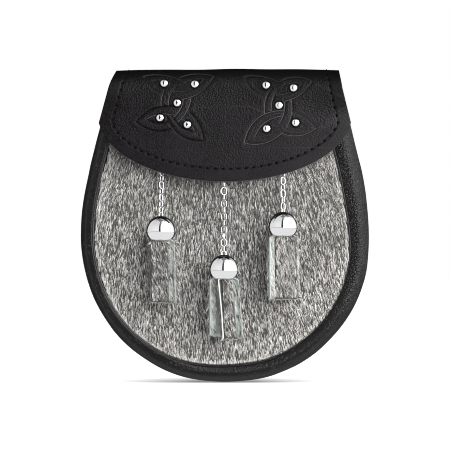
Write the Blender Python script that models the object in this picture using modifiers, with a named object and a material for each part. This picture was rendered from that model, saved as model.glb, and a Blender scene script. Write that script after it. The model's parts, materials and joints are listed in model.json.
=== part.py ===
"""A day-wear sporran: a moulded leather pouch with a fur front, a tooled flap and three chain tassels.

Metres, +Z up, front towards -Y. The origin is the hanging point: on the back panel's outer face, midway
between the two belt loops, where the strap runs through. The pouch is shown as it hangs, with its flap shut.
"""

import math
from collections import namedtuple

import bmesh
import bpy
from mathutils import Matrix, Vector

MM = 0.001

# The pouch seen from the front
WIDTH = 190 * MM
HEIGHT = 206 * MM
TOP_Z = 36 * MM  # the flap's fold above the hanging point
LEAN = math.radians(14)  # the straight upper sides lean in by this much
SIDE_RADIUS = 212 * MM  # the bend between the lower circle and the straight sides
LOW_RADIUS = WIDTH / 2
MIDDLE_Z = TOP_Z - HEIGHT + LOW_RADIUS  # height of the widest line
MOUTH_Z = 29.5 * MM  # top of the gusset; its front corner is cut away to clear the flap
MOUTH_CUT_Y, MOUTH_CUT_SLOPE = -24 * MM, 0.6
RIM_LEFT, RIM_LOW, RIM_RIGHT = 9.2 * MM, 10.6 * MM, 12.2 * MM  # the fur sits a little to the left
CLEARANCE = 0.3 * MM

# Leather
BACK_THICK = 2.4 * MM
BACK_INSET = 4.2 * MM
BACK_TOP_Z = 25.5 * MM
GUSSET_THICK = 2.0 * MM
WELT_RADIUS = 0.8 * MM
WELT_Y = -35.4 * MM
LIP_BACK = 2 * WELT_RADIUS + CLEARANCE  # the gusset ends this far outside the rim's inner edge
PANEL_THICK = 3.0 * MM  # hide with its flattened hair
PANEL_EDGE_Y = -34.8 * MM
PANEL_TOP_Z = 21 * MM
PANEL_CROWN = 3.4 * MM
CROWN_Z = -85 * MM  # its highest line, and how far it reaches above, below and to the sides
CROWN_RISE, CROWN_FALL, CROWN_HALF = 110 * MM, 76 * MM, 84.4 * MM
CROWN_POWER = 2.4

# Flap
FLAP_THICK = 2.8 * MM
FLAP_TOP_LEFT, FLAP_TOP_RIGHT = 71.5 * MM, 74.5 * MM  # half widths on top of the fold
FLAP_SIDE = 77.6 * MM  # half width where the front begins
FLAP_CORNER_Z = 0.5 * MM
FLAP_END_HALF = 83.3 * MM  # the lower edge is half an ellipse of this half width
FLAP_END_RISE = 44 * MM
FLAP_LOW_Z = -38 * MM
LAP_Z = 19.5 * MM
LAP_Y = CLEARANCE + FLAP_THICK
BACK_BEND = 10 * MM
FRONT_BEND = 15 * MM
FRONT_BEND_Y = -25 * MM
FRONT_BEND_Z = TOP_Z - FRONT_BEND
FRONT_SLANT = math.radians(8)
FLAP_CURL = 4.5 * MM  # how far the sides bend back, over CURL_DROP below the fold
CURL_POWER = 2.6
CURL_DROP = 20 * MM
FOLD_ROWS = 0.36  # share of the flap's rows that lie on the lap and the fold

# Metal
STUD_RADIUS = 2.65 * MM
STUD_HEIGHT = 2.1 * MM
LINK_LENGTH, LINK_WIDTH, LINK_WIRE = 5.6 * MM, 4.1 * MM, 0.78 * MM
LINK_PITCH = 4.24 * MM
EYE_RADIUS, EYE_WIRE = 1.5 * MM, 0.8 * MM
EYE_PLAY = 0.45 * MM  # from an eye's middle to the wire of the link that it holds
BELL_HEIGHT = 15 * MM
BELL_EYE = 1.2 * MM  # the eye's middle above the bell's top
RIVET_RADIUS, RIVET_THICK, RIVET_STEM = 2.2 * MM, 0.8 * MM, 1.5 * MM
SNAP_RADIUS = 6 * MM

# Belt loops
LOOP_X = 45 * MM
LOOP_WIDTH = 20 * MM
LOOP_THICK = 2.2 * MM
LOOP_PATH = ((18.8, 2.6), (14.8, 2.6), (12.2, 7.8), (-12.2, 7.8), (-14.8, 2.6), (-21.0, 2.6))  # z and y, in mm

# A gusset section, from its back edge to its front lip: inset as a share of the lip's inset, and depth
Row = namedtuple("Row", "inset y")
GUSSET_ROWS = (
    Row(0.48, -2.7),
    Row(0.20, -5.2),
    Row(0.06, -9.5),
    Row(0.00, -15.5),
    Row(0.04, -21.5),
    Row(0.17, -27.0),
    Row(0.41, -31.5),
    Row(0.72, -34.5),
    Row(1.00, -35.2),
)

# Studs of one knot: a middle one and one in each leaf
Stud = namedtuple("Stud", "name x z")
STUDS = (
    Stud("left_1", -40.1, 26.7),
    Stud("left_2", -20.0, 26.2),
    Stud("left_3", -31.5, 13.9),
    Stud("left_4", -42.8, 4.1),
    Stud("left_5", -24.9, -0.4),
    Stud("right_1", 26.7, 25.5),
    Stud("right_2", 44.7, 23.7),
    Stud("right_3", 35.1, 12.3),
    Stud("right_4", 27.0, -3.0),
    Stud("right_5", 46.0, 0.9),
)

# A drop: its bell's lower middle, the line that its chain leans back to, its links, and its tassel
Drop = namedtuple("Drop", "name x y z anchor_x anchor_y anchor_z links twist length sway flip")
DROPS = (
    Drop("left", -42.0, -49.2, -75.9, -41.2, -39.6, -17.0, 10, 45, 41.5, 2.4, 1),
    Drop("centre", -0.7, -49.4, -101.2, -0.5, -39.7, -20.0, 15, 90, 40.6, 1.2, -1),
    Drop("right", 38.0, -49.2, -73.2, 38.1, -39.6, -18.0, 9, 30, 42.5, 3.0, 1),
)

# Strips of one tassel: the offset of the lower end, the way that it faces, and its width there
Strip = namedtuple("Strip", "across forward turn width")
STRIPS = (
    Strip(-4.6, 3.8, -10, 9.0),
    Strip(4.2, 3.0, 14, 8.5),
    Strip(-7.8, 0.0, -72, 7.0),
    Strip(7.8, -0.4, 76, 7.0),
    Strip(-4.0, -4.2, 188, 9.0),
    Strip(4.4, -3.8, 172, 8.6),
)
STRIP_THICK = 1.3 * MM
STRIP_TOP = 3.5 * MM  # inside the bell, where the strips are half as far apart and narrower
STRIP_GATHER, STRIP_NECK = 0.5, 0.62
STRIP_CURL, STRIP_FORWARD = 0.9 * MM, 1.5 * MM

# Turned outlines from top to bottom, radius and height: in mm, and for the stud as shares of its own
BELL_OUTSIDE = ((0.0, 15.0), (3.0, 14.5), (6.3, 12.6), (8.8, 9.4), (10.0, 5.2), (9.6, 2.4), (8.3, 0.3))
BELL_INSIDE = ((7.5, 0.3), (8.9, 4.8), (6.4, 10.8), (0.0, 13.6))
HEAD_OUTLINE = ((0.0, 8.0), (4.5, 7.0), (7.2, 3.0), (6.85, 0.4), (5.2, -1.5), (0.0, -1.5))
STUD_OUTLINE = ((0.0, 1.0), (0.6, 0.82), (0.95, 0.35), (0.98, 0.0), (0.0, 0.0))


def clear_scene():
    for item in list(bpy.data.objects):
        bpy.data.objects.remove(item, do_unlink=True)


def finish(name, colour, roughness, metallic=0.0):
    material = bpy.data.materials.new(name)
    material.use_nodes = True
    shader = material.node_tree.nodes["Principled BSDF"]
    shader.inputs["Base Color"].default_value = (*colour, 1.0)
    shader.inputs["Roughness"].default_value = roughness
    shader.inputs["Metallic"].default_value = metallic
    return material


LEATHER = dict(colour=(0.018, 0.017, 0.018), roughness=0.45)
FUR = dict(colour=(0.26, 0.255, 0.245), roughness=0.8)
SUEDE = dict(colour=(0.50, 0.51, 0.46), roughness=0.9)
CHROME = dict(colour=(0.88, 0.88, 0.89), roughness=0.12, metallic=1.0)


def add_object(name, data, look, collection):
    item = bpy.data.objects.new(name, data)
    collection.objects.link(item)
    if look:
        item.data.materials.append(finish(name, **look))
    return item


def baked(item):
    """The object's evaluated mesh as a mesh of its own, with its seams welded; the object is removed."""
    bpy.context.view_layer.update()
    graph = bpy.context.evaluated_depsgraph_get()
    mesh = bpy.data.meshes.new_from_object(item.evaluated_get(graph))
    mesh.transform(item.matrix_world)
    bpy.data.objects.remove(item, do_unlink=True)
    form = bmesh.new()
    form.from_mesh(mesh)
    bmesh.ops.remove_doubles(form, verts=form.verts, dist=0.01 * MM)
    form.to_mesh(mesh)
    form.free()
    return mesh


def placed(mesh, matrix):
    copy = mesh.copy()
    copy.transform(matrix)
    return copy


def joined(meshes):
    """Meshes laid side by side in one mesh, with nothing fused."""
    form = bmesh.new()
    for mesh in meshes:
        form.from_mesh(mesh)
    whole = bpy.data.meshes.new("joined")
    form.to_mesh(whole)
    form.free()
    return whole


def fused(name, first, others, look, parts, helpers, solver="EXACT"):
    """The first mesh united with each of the others, as one object."""
    item = add_object(name, first, look, parts)
    for number, mesh in enumerate(others):
        helper = add_object(f"{name}_joins_{number}", mesh, None, helpers)
        helper.hide_render = True
        helper.display_type = "WIRE"
        union = item.modifiers.new("Join", "BOOLEAN")
        union.operation = "UNION"
        union.solver = solver
        union.object = helper
    return item


def sheet(name, columns, rows, place, thickness, look, collection):
    """A grid moved to place(u, v), u across and v down from 0 to 1, and a wall laid on its inner side."""
    form = bmesh.new()
    bmesh.ops.create_grid(form, x_segments=columns, y_segments=rows, size=0.5)
    for vert in form.verts:
        vert.co = place(vert.co.x + 0.5, 0.5 - vert.co.y)
    mesh = bpy.data.meshes.new(name)
    form.to_mesh(mesh)
    form.free()
    item = add_object(name, mesh, look, collection)
    wall = item.modifiers.new("Wall", "SOLIDIFY")
    wall.thickness = thickness
    wall.offset = -1
    wall.use_even_offset = True
    mesh.shade_smooth()
    return item


def turned(name, outline, steps, look, collection):
    """An outline of radius and height points, in metres, turned about Z."""
    mesh = bpy.data.meshes.new(name)
    mesh.from_pydata([(radius, 0, height) for radius, height in outline],
                     [(i, i + 1) for i in range(len(outline) - 1)], [])
    item = add_object(name, mesh, look, collection)
    screw = item.modifiers.new("Turn", "SCREW")
    screw.steps = screw.render_steps = steps
    screw.use_merge_vertices = True
    screw.merge_threshold = 0.05 * MM
    return item


def wire_ring(radius, wire, stretch=0.0):
    """A round wire ring standing in the XZ plane, its upper and lower halves drawn apart into a link."""
    bpy.ops.mesh.primitive_torus_add(major_segments=10, minor_segments=5, major_radius=radius,
                                     minor_radius=wire / 2, rotation=(0, 0, 0))
    item = bpy.context.object
    mesh = item.data.copy()
    bpy.data.objects.remove(item, do_unlink=True)
    mesh.transform(Matrix.Rotation(math.pi / 2, 4, "X") @ Matrix.Rotation(math.pi / 10, 4, "Z"))
    for vert in mesh.vertices:
        vert.co.z += math.copysign(stretch / 2, vert.co.z)
    return mesh


def smooth_step(value):
    value = min(max(value, 0), 1)
    return value * value * (3 - 2 * value)


def patch(top, bottom, left, right, u, v):
    """A point of the patch stretched between four edges: top and bottom run with u, left and right with v."""
    along = top(u).lerp(bottom(u), v) + left(v).lerp(right(v), u)
    corners = top(0).lerp(top(1), u).lerp(bottom(0).lerp(bottom(1), u), v)
    return along - corners


# The pouch's outline is a half circle below, a wide bend on each side, and straight leaning sides above.
LOW_RUN = LOW_RADIUS * math.pi / 2
SIDE_RUN = SIDE_RADIUS * LEAN


def outline(run, side):
    """Point and outward normal in x and z, at a run along the edge from the lowest point, on side -1 or 1."""
    if run < LOW_RUN:
        angle = run / LOW_RADIUS - math.pi / 2
        normal = Vector((math.cos(angle), math.sin(angle)))
        point = Vector((0, MIDDLE_Z)) + LOW_RADIUS * normal
    else:
        angle = min((run - LOW_RUN) / SIDE_RADIUS, LEAN)
        normal = Vector((math.cos(angle), math.sin(angle)))
        straight = max(run - LOW_RUN - SIDE_RUN, 0)
        point = Vector((LOW_RADIUS - SIDE_RADIUS, MIDDLE_Z)) + SIDE_RADIUS * normal
        point += straight * Vector((-normal.y, normal.x))
    return Vector((side * point.x, point.y)), Vector((side * normal.x, normal.y))


def run_to(z):
    """The run along the edge up to a height on the straight sides."""
    bend_z = MIDDLE_Z + SIDE_RADIUS * math.sin(LEAN)
    return LOW_RUN + SIDE_RUN + (z - bend_z) / math.cos(LEAN)


def rim_width(run, side):
    """How wide the rim shows outside the fur: it changes evenly from left to right."""
    share = min(run / LOW_RUN, 1) * (math.pi / 2)
    return RIM_LOW + ((RIM_RIGHT if side > 0 else RIM_LEFT) - RIM_LOW) * math.sin(share)


def lip_point(run, side, extra):
    """A point of the rim's inner edge, moved inwards by extra."""
    point, normal = outline(run, side)
    return point - normal * (rim_width(run, side) + extra)


def pouch_panel(inset_point, top_z, corner_run):
    """Four edges for patch() of a panel with the pouch's outline; its lower corners lie at corner_run."""
    top_run = run_to(top_z)

    def side_edge(side, v):
        point = inset_point(top_run + (corner_run - top_run) * v, side)
        return Vector((point.x, min(point.y, top_z)))

    def bottom(u):
        return inset_point(abs(2 * u - 1) * corner_run, 1 if u >= 0.5 else -1)

    return (
        lambda u: side_edge(-1, 0).lerp(side_edge(1, 0), u),
        bottom,
        lambda v: side_edge(-1, v),
        lambda v: side_edge(1, v),
    )


def panel_y(x, z):
    """The fur panel's outer face: crowned, and flat again at its edge."""
    reach = math.hypot(x / CROWN_HALF, (z - CROWN_Z) / (CROWN_RISE if z > CROWN_Z else CROWN_FALL))
    return PANEL_EDGE_Y - PANEL_CROWN * max(1 - reach ** CROWN_POWER, 0)


def flap_front_z():
    return FRONT_BEND_Z + FRONT_BEND * math.sin(FRONT_SLANT)


def flap_y(x, z):
    """The flap's outer face: round at the fold, then a slanting plane whose sides curl back to the pouch."""
    start = FRONT_BEND_Y - FRONT_BEND * math.cos(FRONT_SLANT)
    drop = flap_front_z() - z
    if drop < 0:
        return FRONT_BEND_Y - math.sqrt(FRONT_BEND ** 2 - (z - FRONT_BEND_Z) ** 2)
    curl = FLAP_CURL * abs(x / FLAP_END_HALF) ** CURL_POWER * smooth_step(drop / CURL_DROP)
    return start - drop * math.tan(FRONT_SLANT) + curl


def flap_fold(share):
    """The fold's y, z and half widths left and right, from the lap behind to the start of the front."""
    lap = TOP_Z - BACK_BEND - LAP_Z
    back = BACK_BEND * math.pi / 2
    top = LAP_Y - BACK_BEND - FRONT_BEND_Y
    front = FRONT_BEND * (math.pi / 2 - FRONT_SLANT)
    run = share * (lap + back + top + front)
    if run < lap:
        y, z = LAP_Y, LAP_Z + run
    elif run < lap + back:
        angle = (run - lap) / BACK_BEND
        y, z = LAP_Y - BACK_BEND * (1 - math.cos(angle)), TOP_Z - BACK_BEND * (1 - math.sin(angle))
    elif run < lap + back + top:
        y, z = LAP_Y - BACK_BEND - (run - lap - back), TOP_Z
    else:
        angle = (run - lap - back - top) / FRONT_BEND
        y, z = FRONT_BEND_Y - FRONT_BEND * math.sin(angle), TOP_Z - FRONT_BEND * (1 - math.cos(angle))
    widen = smooth_step((run - lap - back - top) / front)
    return y, z, *(half + (FLAP_SIDE - half) * widen for half in (FLAP_TOP_LEFT, FLAP_TOP_RIGHT))


def flap_corner():
    """Where the straight side ends on the ellipse."""
    drop = (FLAP_CORNER_Z - FLAP_LOW_Z) / FLAP_END_RISE - 1
    return math.acos(-drop)


def flap_front(u, v):
    """A point in x and z of the flap's front: u across, v down from its start to its lower edge."""
    start = flap_front_z()
    corner = flap_corner()
    corner_half = FLAP_END_HALF * math.sin(corner)

    def side_edge(side, share):
        half = FLAP_SIDE + (corner_half - FLAP_SIDE) * share
        return Vector((side * half, start + (FLAP_CORNER_Z - start) * share))

    def bottom(share):
        angle = (2 * share - 1) * corner
        lift = FLAP_END_RISE * (1 - math.cos(angle))
        return Vector((FLAP_END_HALF * math.sin(angle), FLAP_LOW_Z + lift))

    return patch(
        lambda s: side_edge(2 * s - 1, 0),
        bottom,
        lambda s: side_edge(-1, s),
        lambda s: side_edge(1, s),
        u,
        v,
    )


def make_back_panel(parts):
    """The flat leather back, whose edge the gusset is sewn to."""
    def inset_point(run, side):
        point, normal = outline(run, side)
        return point - normal * BACK_INSET

    edges = pouch_panel(inset_point, BACK_TOP_Z, LOW_RUN * 0.75)

    def place(u, v):
        point = patch(*edges, 1 - u, v)
        return Vector((point.x, 0, point.y))

    sheet("back_panel", 12, 10, place, BACK_THICK, LEATHER, parts)


def make_gusset(parts):
    """The moulded side wall, swept round the outline from one side of the mouth to the other."""
    sections = len(GUSSET_ROWS) - 1
    top = run_to(MOUTH_Z)

    def place(u, v):
        side = 1 if u <= 0.5 else -1
        run = abs(2 * u - 1) * top
        row = GUSSET_ROWS[round(v * sections)]
        point, normal = outline(run, side)
        point = point - normal * (row.inset * (rim_width(run, side) - LIP_BACK))
        if abs(run - top) < 1e-6:
            cut = MOUTH_Z - max(MOUTH_CUT_Y - row.y * MM, 0) * MOUTH_CUT_SLOPE
            point += Vector((-side * math.tan(LEAN), 1)) * (cut - point.y)
        return Vector((point.x, row.y * MM, point.y))

    sheet("gusset", 44, sections, place, GUSSET_THICK, LEATHER, parts)


def make_welt(parts):
    """The thin piping that closes the seam between the gusset and the fur."""
    count = 46
    top = run_to(PANEL_TOP_Z)
    curve = bpy.data.curves.new("welt", "CURVE")
    curve.dimensions = "3D"
    curve.bevel_depth = WELT_RADIUS
    curve.bevel_resolution = 1
    curve.use_fill_caps = True
    spline = curve.splines.new("POLY")
    spline.points.add(count)
    for i, point in enumerate(spline.points):
        share = 2 * i / count - 1
        place = lip_point(abs(share) * top, 1 if share >= 0 else -1, -WELT_RADIUS)
        point.co = (place.x, WELT_Y, place.y, 1)
    item = bpy.data.objects.new("welt", curve)
    parts.objects.link(item)
    mesh = baked(item)
    add_object("welt", mesh, LEATHER, parts)


def make_front_panel(parts):
    """The crowned front, of hide with short hair: one wall as thick as the hide and its flattened hair."""
    edges = pouch_panel(lambda run, side: lip_point(run, side, CLEARANCE), PANEL_TOP_Z, LOW_RUN * 0.72)

    def place(u, v):
        point = patch(*edges, u, v)
        return Vector((point.x, panel_y(point.x, point.y), point.y))

    sheet("front_panel", 12, 13, place, PANEL_THICK, FUR, parts)


def make_flap(parts):
    """The leather flap: a lap sewn behind the top, the fold over the mouth, and the shaped front."""
    def place(u, v):
        if v < FOLD_ROWS:
            y, z, left, right = flap_fold(v / FOLD_ROWS)
            return Vector((-left + (left + right) * u, y, z))
        point = flap_front(u, (v - FOLD_ROWS) / (1 - FOLD_ROWS))
        return Vector((point.x, flap_y(point.x, point.y), point.y))

    sheet("flap", 18, 22, place, FLAP_THICK, LEATHER, parts)


def flap_frame(x, z):
    """Matrix that stands a turned piece on the flap's face, its axis along the outward normal."""
    step = 0.5 * MM
    here = Vector((x, flap_y(x, z), z))
    right = Vector((x + step, flap_y(x + step, z), z)) - here
    up = Vector((x, flap_y(x, z + step), z + step)) - here
    normal = right.cross(up).normalized()
    return Matrix.Translation(here + normal * CLEARANCE) @ normal.to_track_quat("Z", "Y").to_matrix().to_4x4()


def make_studs(parts):
    """Domed studs in the middle and in the leaves of each tooled knot."""
    outline_points = [(radius * STUD_RADIUS, height * STUD_HEIGHT) for radius, height in STUD_OUTLINE]
    mesh = baked(turned("stud", outline_points, 10, CHROME, parts))
    for stud in STUDS:
        item = add_object(f"stud_{stud.name}", mesh, None, parts)
        item.matrix_world = flap_frame(stud.x * MM, stud.z * MM)


def make_snap(parts):
    """The hidden press stud that holds the flap shut: one plain piece between panel and flap."""
    front = flap_y(0, SNAP_RADIUS) + FLAP_THICK / math.cos(FRONT_SLANT) + CLEARANCE
    back = panel_y(0, -SNAP_RADIUS) - CLEARANCE
    length = back - front
    neck = SNAP_RADIUS * 0.7
    profile = ((0, length), (SNAP_RADIUS, length), (SNAP_RADIUS, length * 0.6), (neck, length * 0.6),
               (neck, length * 0.4), (SNAP_RADIUS, length * 0.4), (SNAP_RADIUS, 0), (0, 0))
    item = turned("flap_snap", profile, 12, CHROME, parts)
    item.location = (0, back, 0)
    item.rotation_euler = (math.pi / 2, 0, 0)


def make_belt_loops(parts):
    """Two plain leather bridges behind the back, through which the belt runs."""
    for name, side in (("left", -1), ("right", 1)):

        def place(u, v):
            z, y = LOOP_PATH[round(v * (len(LOOP_PATH) - 1))]
            return Vector((side * LOOP_X + (0.5 - u) * LOOP_WIDTH, y * MM, z * MM))

        sheet(f"belt_loop_{name}", 2, len(LOOP_PATH) - 1, place, LOOP_THICK, LEATHER, parts)


def line_matrix(start, along, turn):
    """Matrix with Z along a line and Y turned about it from the front."""
    upright = along.normalized()
    side = Vector((1, 0, 0))
    depth = upright.cross(side).normalized()
    side = depth.cross(upright)
    axes = Matrix((side, depth, upright)).transposed().to_4x4()
    return Matrix.Translation(start) @ axes @ Matrix.Rotation(math.radians(turn), 4, "Z")


def rivet_outline(reach):
    """A flat head on the panel and a stem that reaches the eye."""
    return ((0, reach + EYE_WIRE / 2), (RIVET_STEM, reach + EYE_WIRE / 2), (RIVET_STEM, RIVET_THICK),
            (RIVET_RADIUS, RIVET_THICK), (RIVET_RADIUS, 0), (0, 0))


def make_drop(drop, meshes, parts, helpers):
    """One chain with its bell and tassel: the chain leans back to its anchor, and the tassel hangs plumb."""
    low = Vector((drop.x, drop.y, drop.z)) * MM
    along = (Vector((drop.anchor_x, drop.anchor_y, drop.anchor_z)) * MM - low).normalized()
    bell_eye = low + along * (BELL_HEIGHT + BELL_EYE)
    first = EYE_PLAY + (LINK_LENGTH - LINK_WIRE) / 2
    length = 2 * first + (drop.links - 1) * LINK_PITCH
    anchor_eye = bell_eye + along * length

    links = []
    for i in range(drop.links):
        middle = bell_eye + along * (first + i * LINK_PITCH)
        links.append(placed(meshes["link"], line_matrix(middle, along, drop.twist + 90 * (i % 2))))
    fused(f"chain_{drop.name}", joined(links[::2]), [joined(links[1::2])], CHROME, parts, helpers)

    eye_turn = drop.twist + 90
    bell_eye_mesh = placed(meshes["eye"], line_matrix(bell_eye, along, eye_turn))
    fused(f"bell_{drop.name}", placed(meshes["bell"], line_matrix(low, along, 0)), [bell_eye_mesh],
          CHROME, parts, helpers)

    last_turn = drop.twist + 90 * (drop.links % 2)
    anchor_eye_mesh = placed(meshes["eye"], line_matrix(anchor_eye, along, last_turn))
    rivet_at = anchor_eye + along * (EYE_RADIUS + EYE_WIRE)
    panel = panel_y(rivet_at.x, rivet_at.z) - CLEARANCE
    rivet = baked(turned("rivet", rivet_outline(panel - rivet_at.y), 8, None, helpers))
    rivet.transform(Matrix.Rotation(math.pi / 2, 4, "X"))
    rivet.transform(Matrix.Translation((rivet_at.x, panel, rivet_at.z)))
    fused(f"chain_anchor_{drop.name}", rivet, [anchor_eye_mesh], CHROME, parts, helpers)

    make_tassel(drop, low, meshes, parts, helpers)


def make_tassel(drop, low, meshes, parts, helpers):
    """Strips of haired hide hanging plumb from a head inside the bell."""
    others = []
    for number, strip in enumerate(STRIPS):
        turn = math.radians(drop.flip * strip.turn)
        facing = Vector((math.sin(turn), -math.cos(turn), 0))
        across = Vector((math.cos(turn), math.sin(turn), 0))
        offset = Vector((drop.flip * strip.across, -strip.forward, 0)) * MM
        hang = Vector((drop.sway * MM, STRIP_FORWARD, -drop.length * MM - STRIP_TOP))

        def place(u, v):
            spread = STRIP_GATHER + (1 - STRIP_GATHER) * smooth_step(v * 1.6)
            width = strip.width * MM * (STRIP_NECK + (1 - STRIP_NECK) * smooth_step(v * 2))
            curl = STRIP_CURL * math.cos(math.pi * (u - 0.5))
            top = low + Vector((0, 0, STRIP_TOP)) + offset * spread
            return top + across * width * (u - 0.5) + facing * curl + hang * v

        others.append(baked(sheet(f"strip_{number}", 2, 3, place, STRIP_THICK, None, helpers)))
    head = placed(meshes["head"], Matrix.Translation(low))
    fused(f"tassel_{drop.name}", head, others, SUEDE, parts, helpers, solver="MANIFOLD")


def make_drops(parts, helpers):
    bell = [(radius * MM, height * MM) for radius, height in BELL_OUTSIDE + BELL_INSIDE]
    head = [(radius * MM, height * MM) for radius, height in HEAD_OUTLINE]
    meshes = {
        "link": wire_ring((LINK_WIDTH - LINK_WIRE) / 2, LINK_WIRE, LINK_LENGTH - LINK_WIDTH),
        "eye": wire_ring(EYE_RADIUS, EYE_WIRE),
        "bell": baked(turned("bell", bell, 12, None, helpers)),
        "head": baked(turned("head", head, 12, None, helpers)),
    }
    for drop in DROPS:
        make_drop(drop, meshes, parts, helpers)


def main():
    clear_scene()
    parts = bpy.data.collections.new("sporran")
    helpers = bpy.data.collections.new("joining shapes")
    bpy.context.scene.collection.children.link(parts)
    bpy.context.scene.collection.children.link(helpers)
    make_back_panel(parts)
    make_gusset(parts)
    make_welt(parts)
    make_front_panel(parts)
    make_flap(parts)
    make_studs(parts)
    make_snap(parts)
    make_belt_loops(parts)
    make_drops(parts, helpers)


main()
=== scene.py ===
# A day-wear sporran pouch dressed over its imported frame: tooled flap, hair-on front, chrome and tassels
import json
import math

import bpy
import numpy as np
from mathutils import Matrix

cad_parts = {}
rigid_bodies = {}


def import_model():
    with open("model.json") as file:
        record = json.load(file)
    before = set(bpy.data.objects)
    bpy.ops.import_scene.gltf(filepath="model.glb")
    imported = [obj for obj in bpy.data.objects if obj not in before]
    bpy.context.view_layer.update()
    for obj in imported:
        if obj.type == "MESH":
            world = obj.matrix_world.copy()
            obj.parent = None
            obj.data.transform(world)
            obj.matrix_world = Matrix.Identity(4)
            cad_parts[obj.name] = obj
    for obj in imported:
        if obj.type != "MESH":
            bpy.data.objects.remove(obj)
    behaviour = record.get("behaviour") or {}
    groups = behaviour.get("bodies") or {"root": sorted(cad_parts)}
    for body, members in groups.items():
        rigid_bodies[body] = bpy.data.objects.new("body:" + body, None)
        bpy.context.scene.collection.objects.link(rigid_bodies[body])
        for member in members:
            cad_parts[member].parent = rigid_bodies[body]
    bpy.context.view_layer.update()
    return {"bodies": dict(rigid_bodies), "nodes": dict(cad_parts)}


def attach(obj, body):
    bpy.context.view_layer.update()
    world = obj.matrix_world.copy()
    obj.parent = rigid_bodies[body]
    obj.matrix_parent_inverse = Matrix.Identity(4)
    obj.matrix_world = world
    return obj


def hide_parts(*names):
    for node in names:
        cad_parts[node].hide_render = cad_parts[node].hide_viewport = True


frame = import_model()
body = next(iter(frame["bodies"]))
mm = 0.001  # lengths below are in millimetres unless a name says otherwise
print("stage: frame loaded,", len(frame["nodes"]), "nodes on", body)


class Sizes(dict):
    # a dictionary whose values are also read as attributes
    __getattr__ = dict.__getitem__


# Small helpers for shapes

def smoothStep(t):
    # 0 below 0, 1 above 1, and 3t^2 - 2t^3 between
    t = np.clip(t, 0, 1)
    return t * t * (3 - 2 * t)


def unit(vectors):
    return vectors / np.maximum(np.linalg.norm(vectors, axis=-1, keepdims=True), 1e-9)


def evenly(path, count):
    # points at equal steps of arc length along a polyline
    run = np.r_[0, np.cumsum(np.linalg.norm(np.diff(path, axis=0), axis=1))]
    at = np.linspace(0, run[-1], count)
    return np.stack([np.interp(at, run, path[:, k]) for k in range(path.shape[1])], 1)


def smoothCurve(points, count):
    # Catmull-Rom curve through the points, then equal steps along it
    p = np.asarray(points, float)
    ends = np.vstack([2 * p[0] - p[1], p, 2 * p[-1] - p[-2]])
    t = np.linspace(0, len(p) - 1, 30 * (len(p) - 1) + 1)
    i = np.minimum(t.astype(int), len(p) - 2)
    f = (t - i)[:, None]
    a, b, c, d = ends[i], ends[i + 1], ends[i + 2], ends[i + 3]
    square, cube = a - 2.5 * b + 2 * c - d / 2, 1.5 * b - a / 2 - 1.5 * c + d / 2
    return evenly(b + f * ((c - a) / 2 + f * (square + f * cube)), count)


def waves(x, z, size, seed, count=7):
    # noise between about -1 and 1: a sum of plane waves in random directions, size mm from crest to crest
    draw = np.random.default_rng(seed)
    angles, phases = draw.uniform(0, math.tau, count), draw.uniform(0, math.tau, count)
    total = np.zeros(np.shape(x))
    for angle, phase, scale in zip(angles, phases, draw.uniform(0.7, 1.4, count)):
        along = x * math.cos(angle) + z * math.sin(angle)
        total = total + np.sin(along * math.tau / (size * scale) + phase)
    return total / math.sqrt(count)


def nearestOn(points, path):
    # for each point the place in a densely sampled path that is nearest, and its distance
    place, near = np.empty(len(points), int), np.empty(len(points))
    for start in range(0, len(points), 1000):
        some = slice(start, start + 1000)
        gap = sum((points[some, None, k] - path[None, :, k]) ** 2 for k in range(path.shape[1]))
        place[some] = gap.argmin(1)
        near[some] = np.sqrt(gap.min(1))
    return place, near


def gridFaces(rows, columns, wrap=False):
    # quads of a grid of points stored row by row; wrap joins the last column to the first
    across = np.arange(columns if wrap else columns - 1)
    i, j = np.meshgrid(np.arange(rows - 1) * columns, across, indexing="ij")
    k = (j + 1) % columns
    return np.stack([i + j, i + k, i + columns + k, i + columns + j], -1).reshape(-1, 4)


def gridNormals(grid):
    # the cross product of the steps along the rows and down the columns
    return unit(np.cross(np.gradient(grid, axis=1), np.gradient(grid, axis=0)))


def sheet(grid, flip=True):
    # points and faces of a grid of points; flip turns the faces over
    return grid.reshape(-1, 3), gridFaces(*grid.shape[:2])[:, ::-1 if flip else 1]


def addObject(name, data):
    made = bpy.data.objects.new(name, data)
    bpy.context.scene.collection.objects.link(made)
    return made


def makePiece(name, shape, materials, replaced=None, mirrored=True):
    # a mesh from its points in mm and arrays of faces, riding on the pouch's one body
    points, *faces = shape
    mesh = bpy.data.meshes.new(name)
    corners = np.concatenate([f.ravel() for f in faces])
    sizes = np.concatenate([np.full(len(f), f.shape[1]) for f in faces])
    mesh.vertices.add(len(points))
    mesh.vertices.foreach_set("co", (points * mm).astype(np.float32).ravel())
    mesh.loops.add(len(corners))
    mesh.loops.foreach_set("vertex_index", corners.astype(np.int32))
    mesh.polygons.add(len(sizes))
    mesh.polygons.foreach_set("loop_start", (np.cumsum(sizes) - sizes).astype(np.int32))
    mesh.update(calc_edges=True)
    mesh.shade_smooth()
    for material in materials:
        mesh.materials.append(material)
    piece = addObject(name, mesh)
    piece.visible_glossy = mirrored  # mostly off: polished metal mirrors the studio, not the pouch
    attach(piece, body)
    if replaced:
        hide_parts(replaced)
    return piece


def addNumbers(piece, name, values):
    layer = piece.data.attributes.new(name, "FLOAT", "POINT")
    layer.data.foreach_set("value", np.ravel(values).astype(np.float32))


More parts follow.
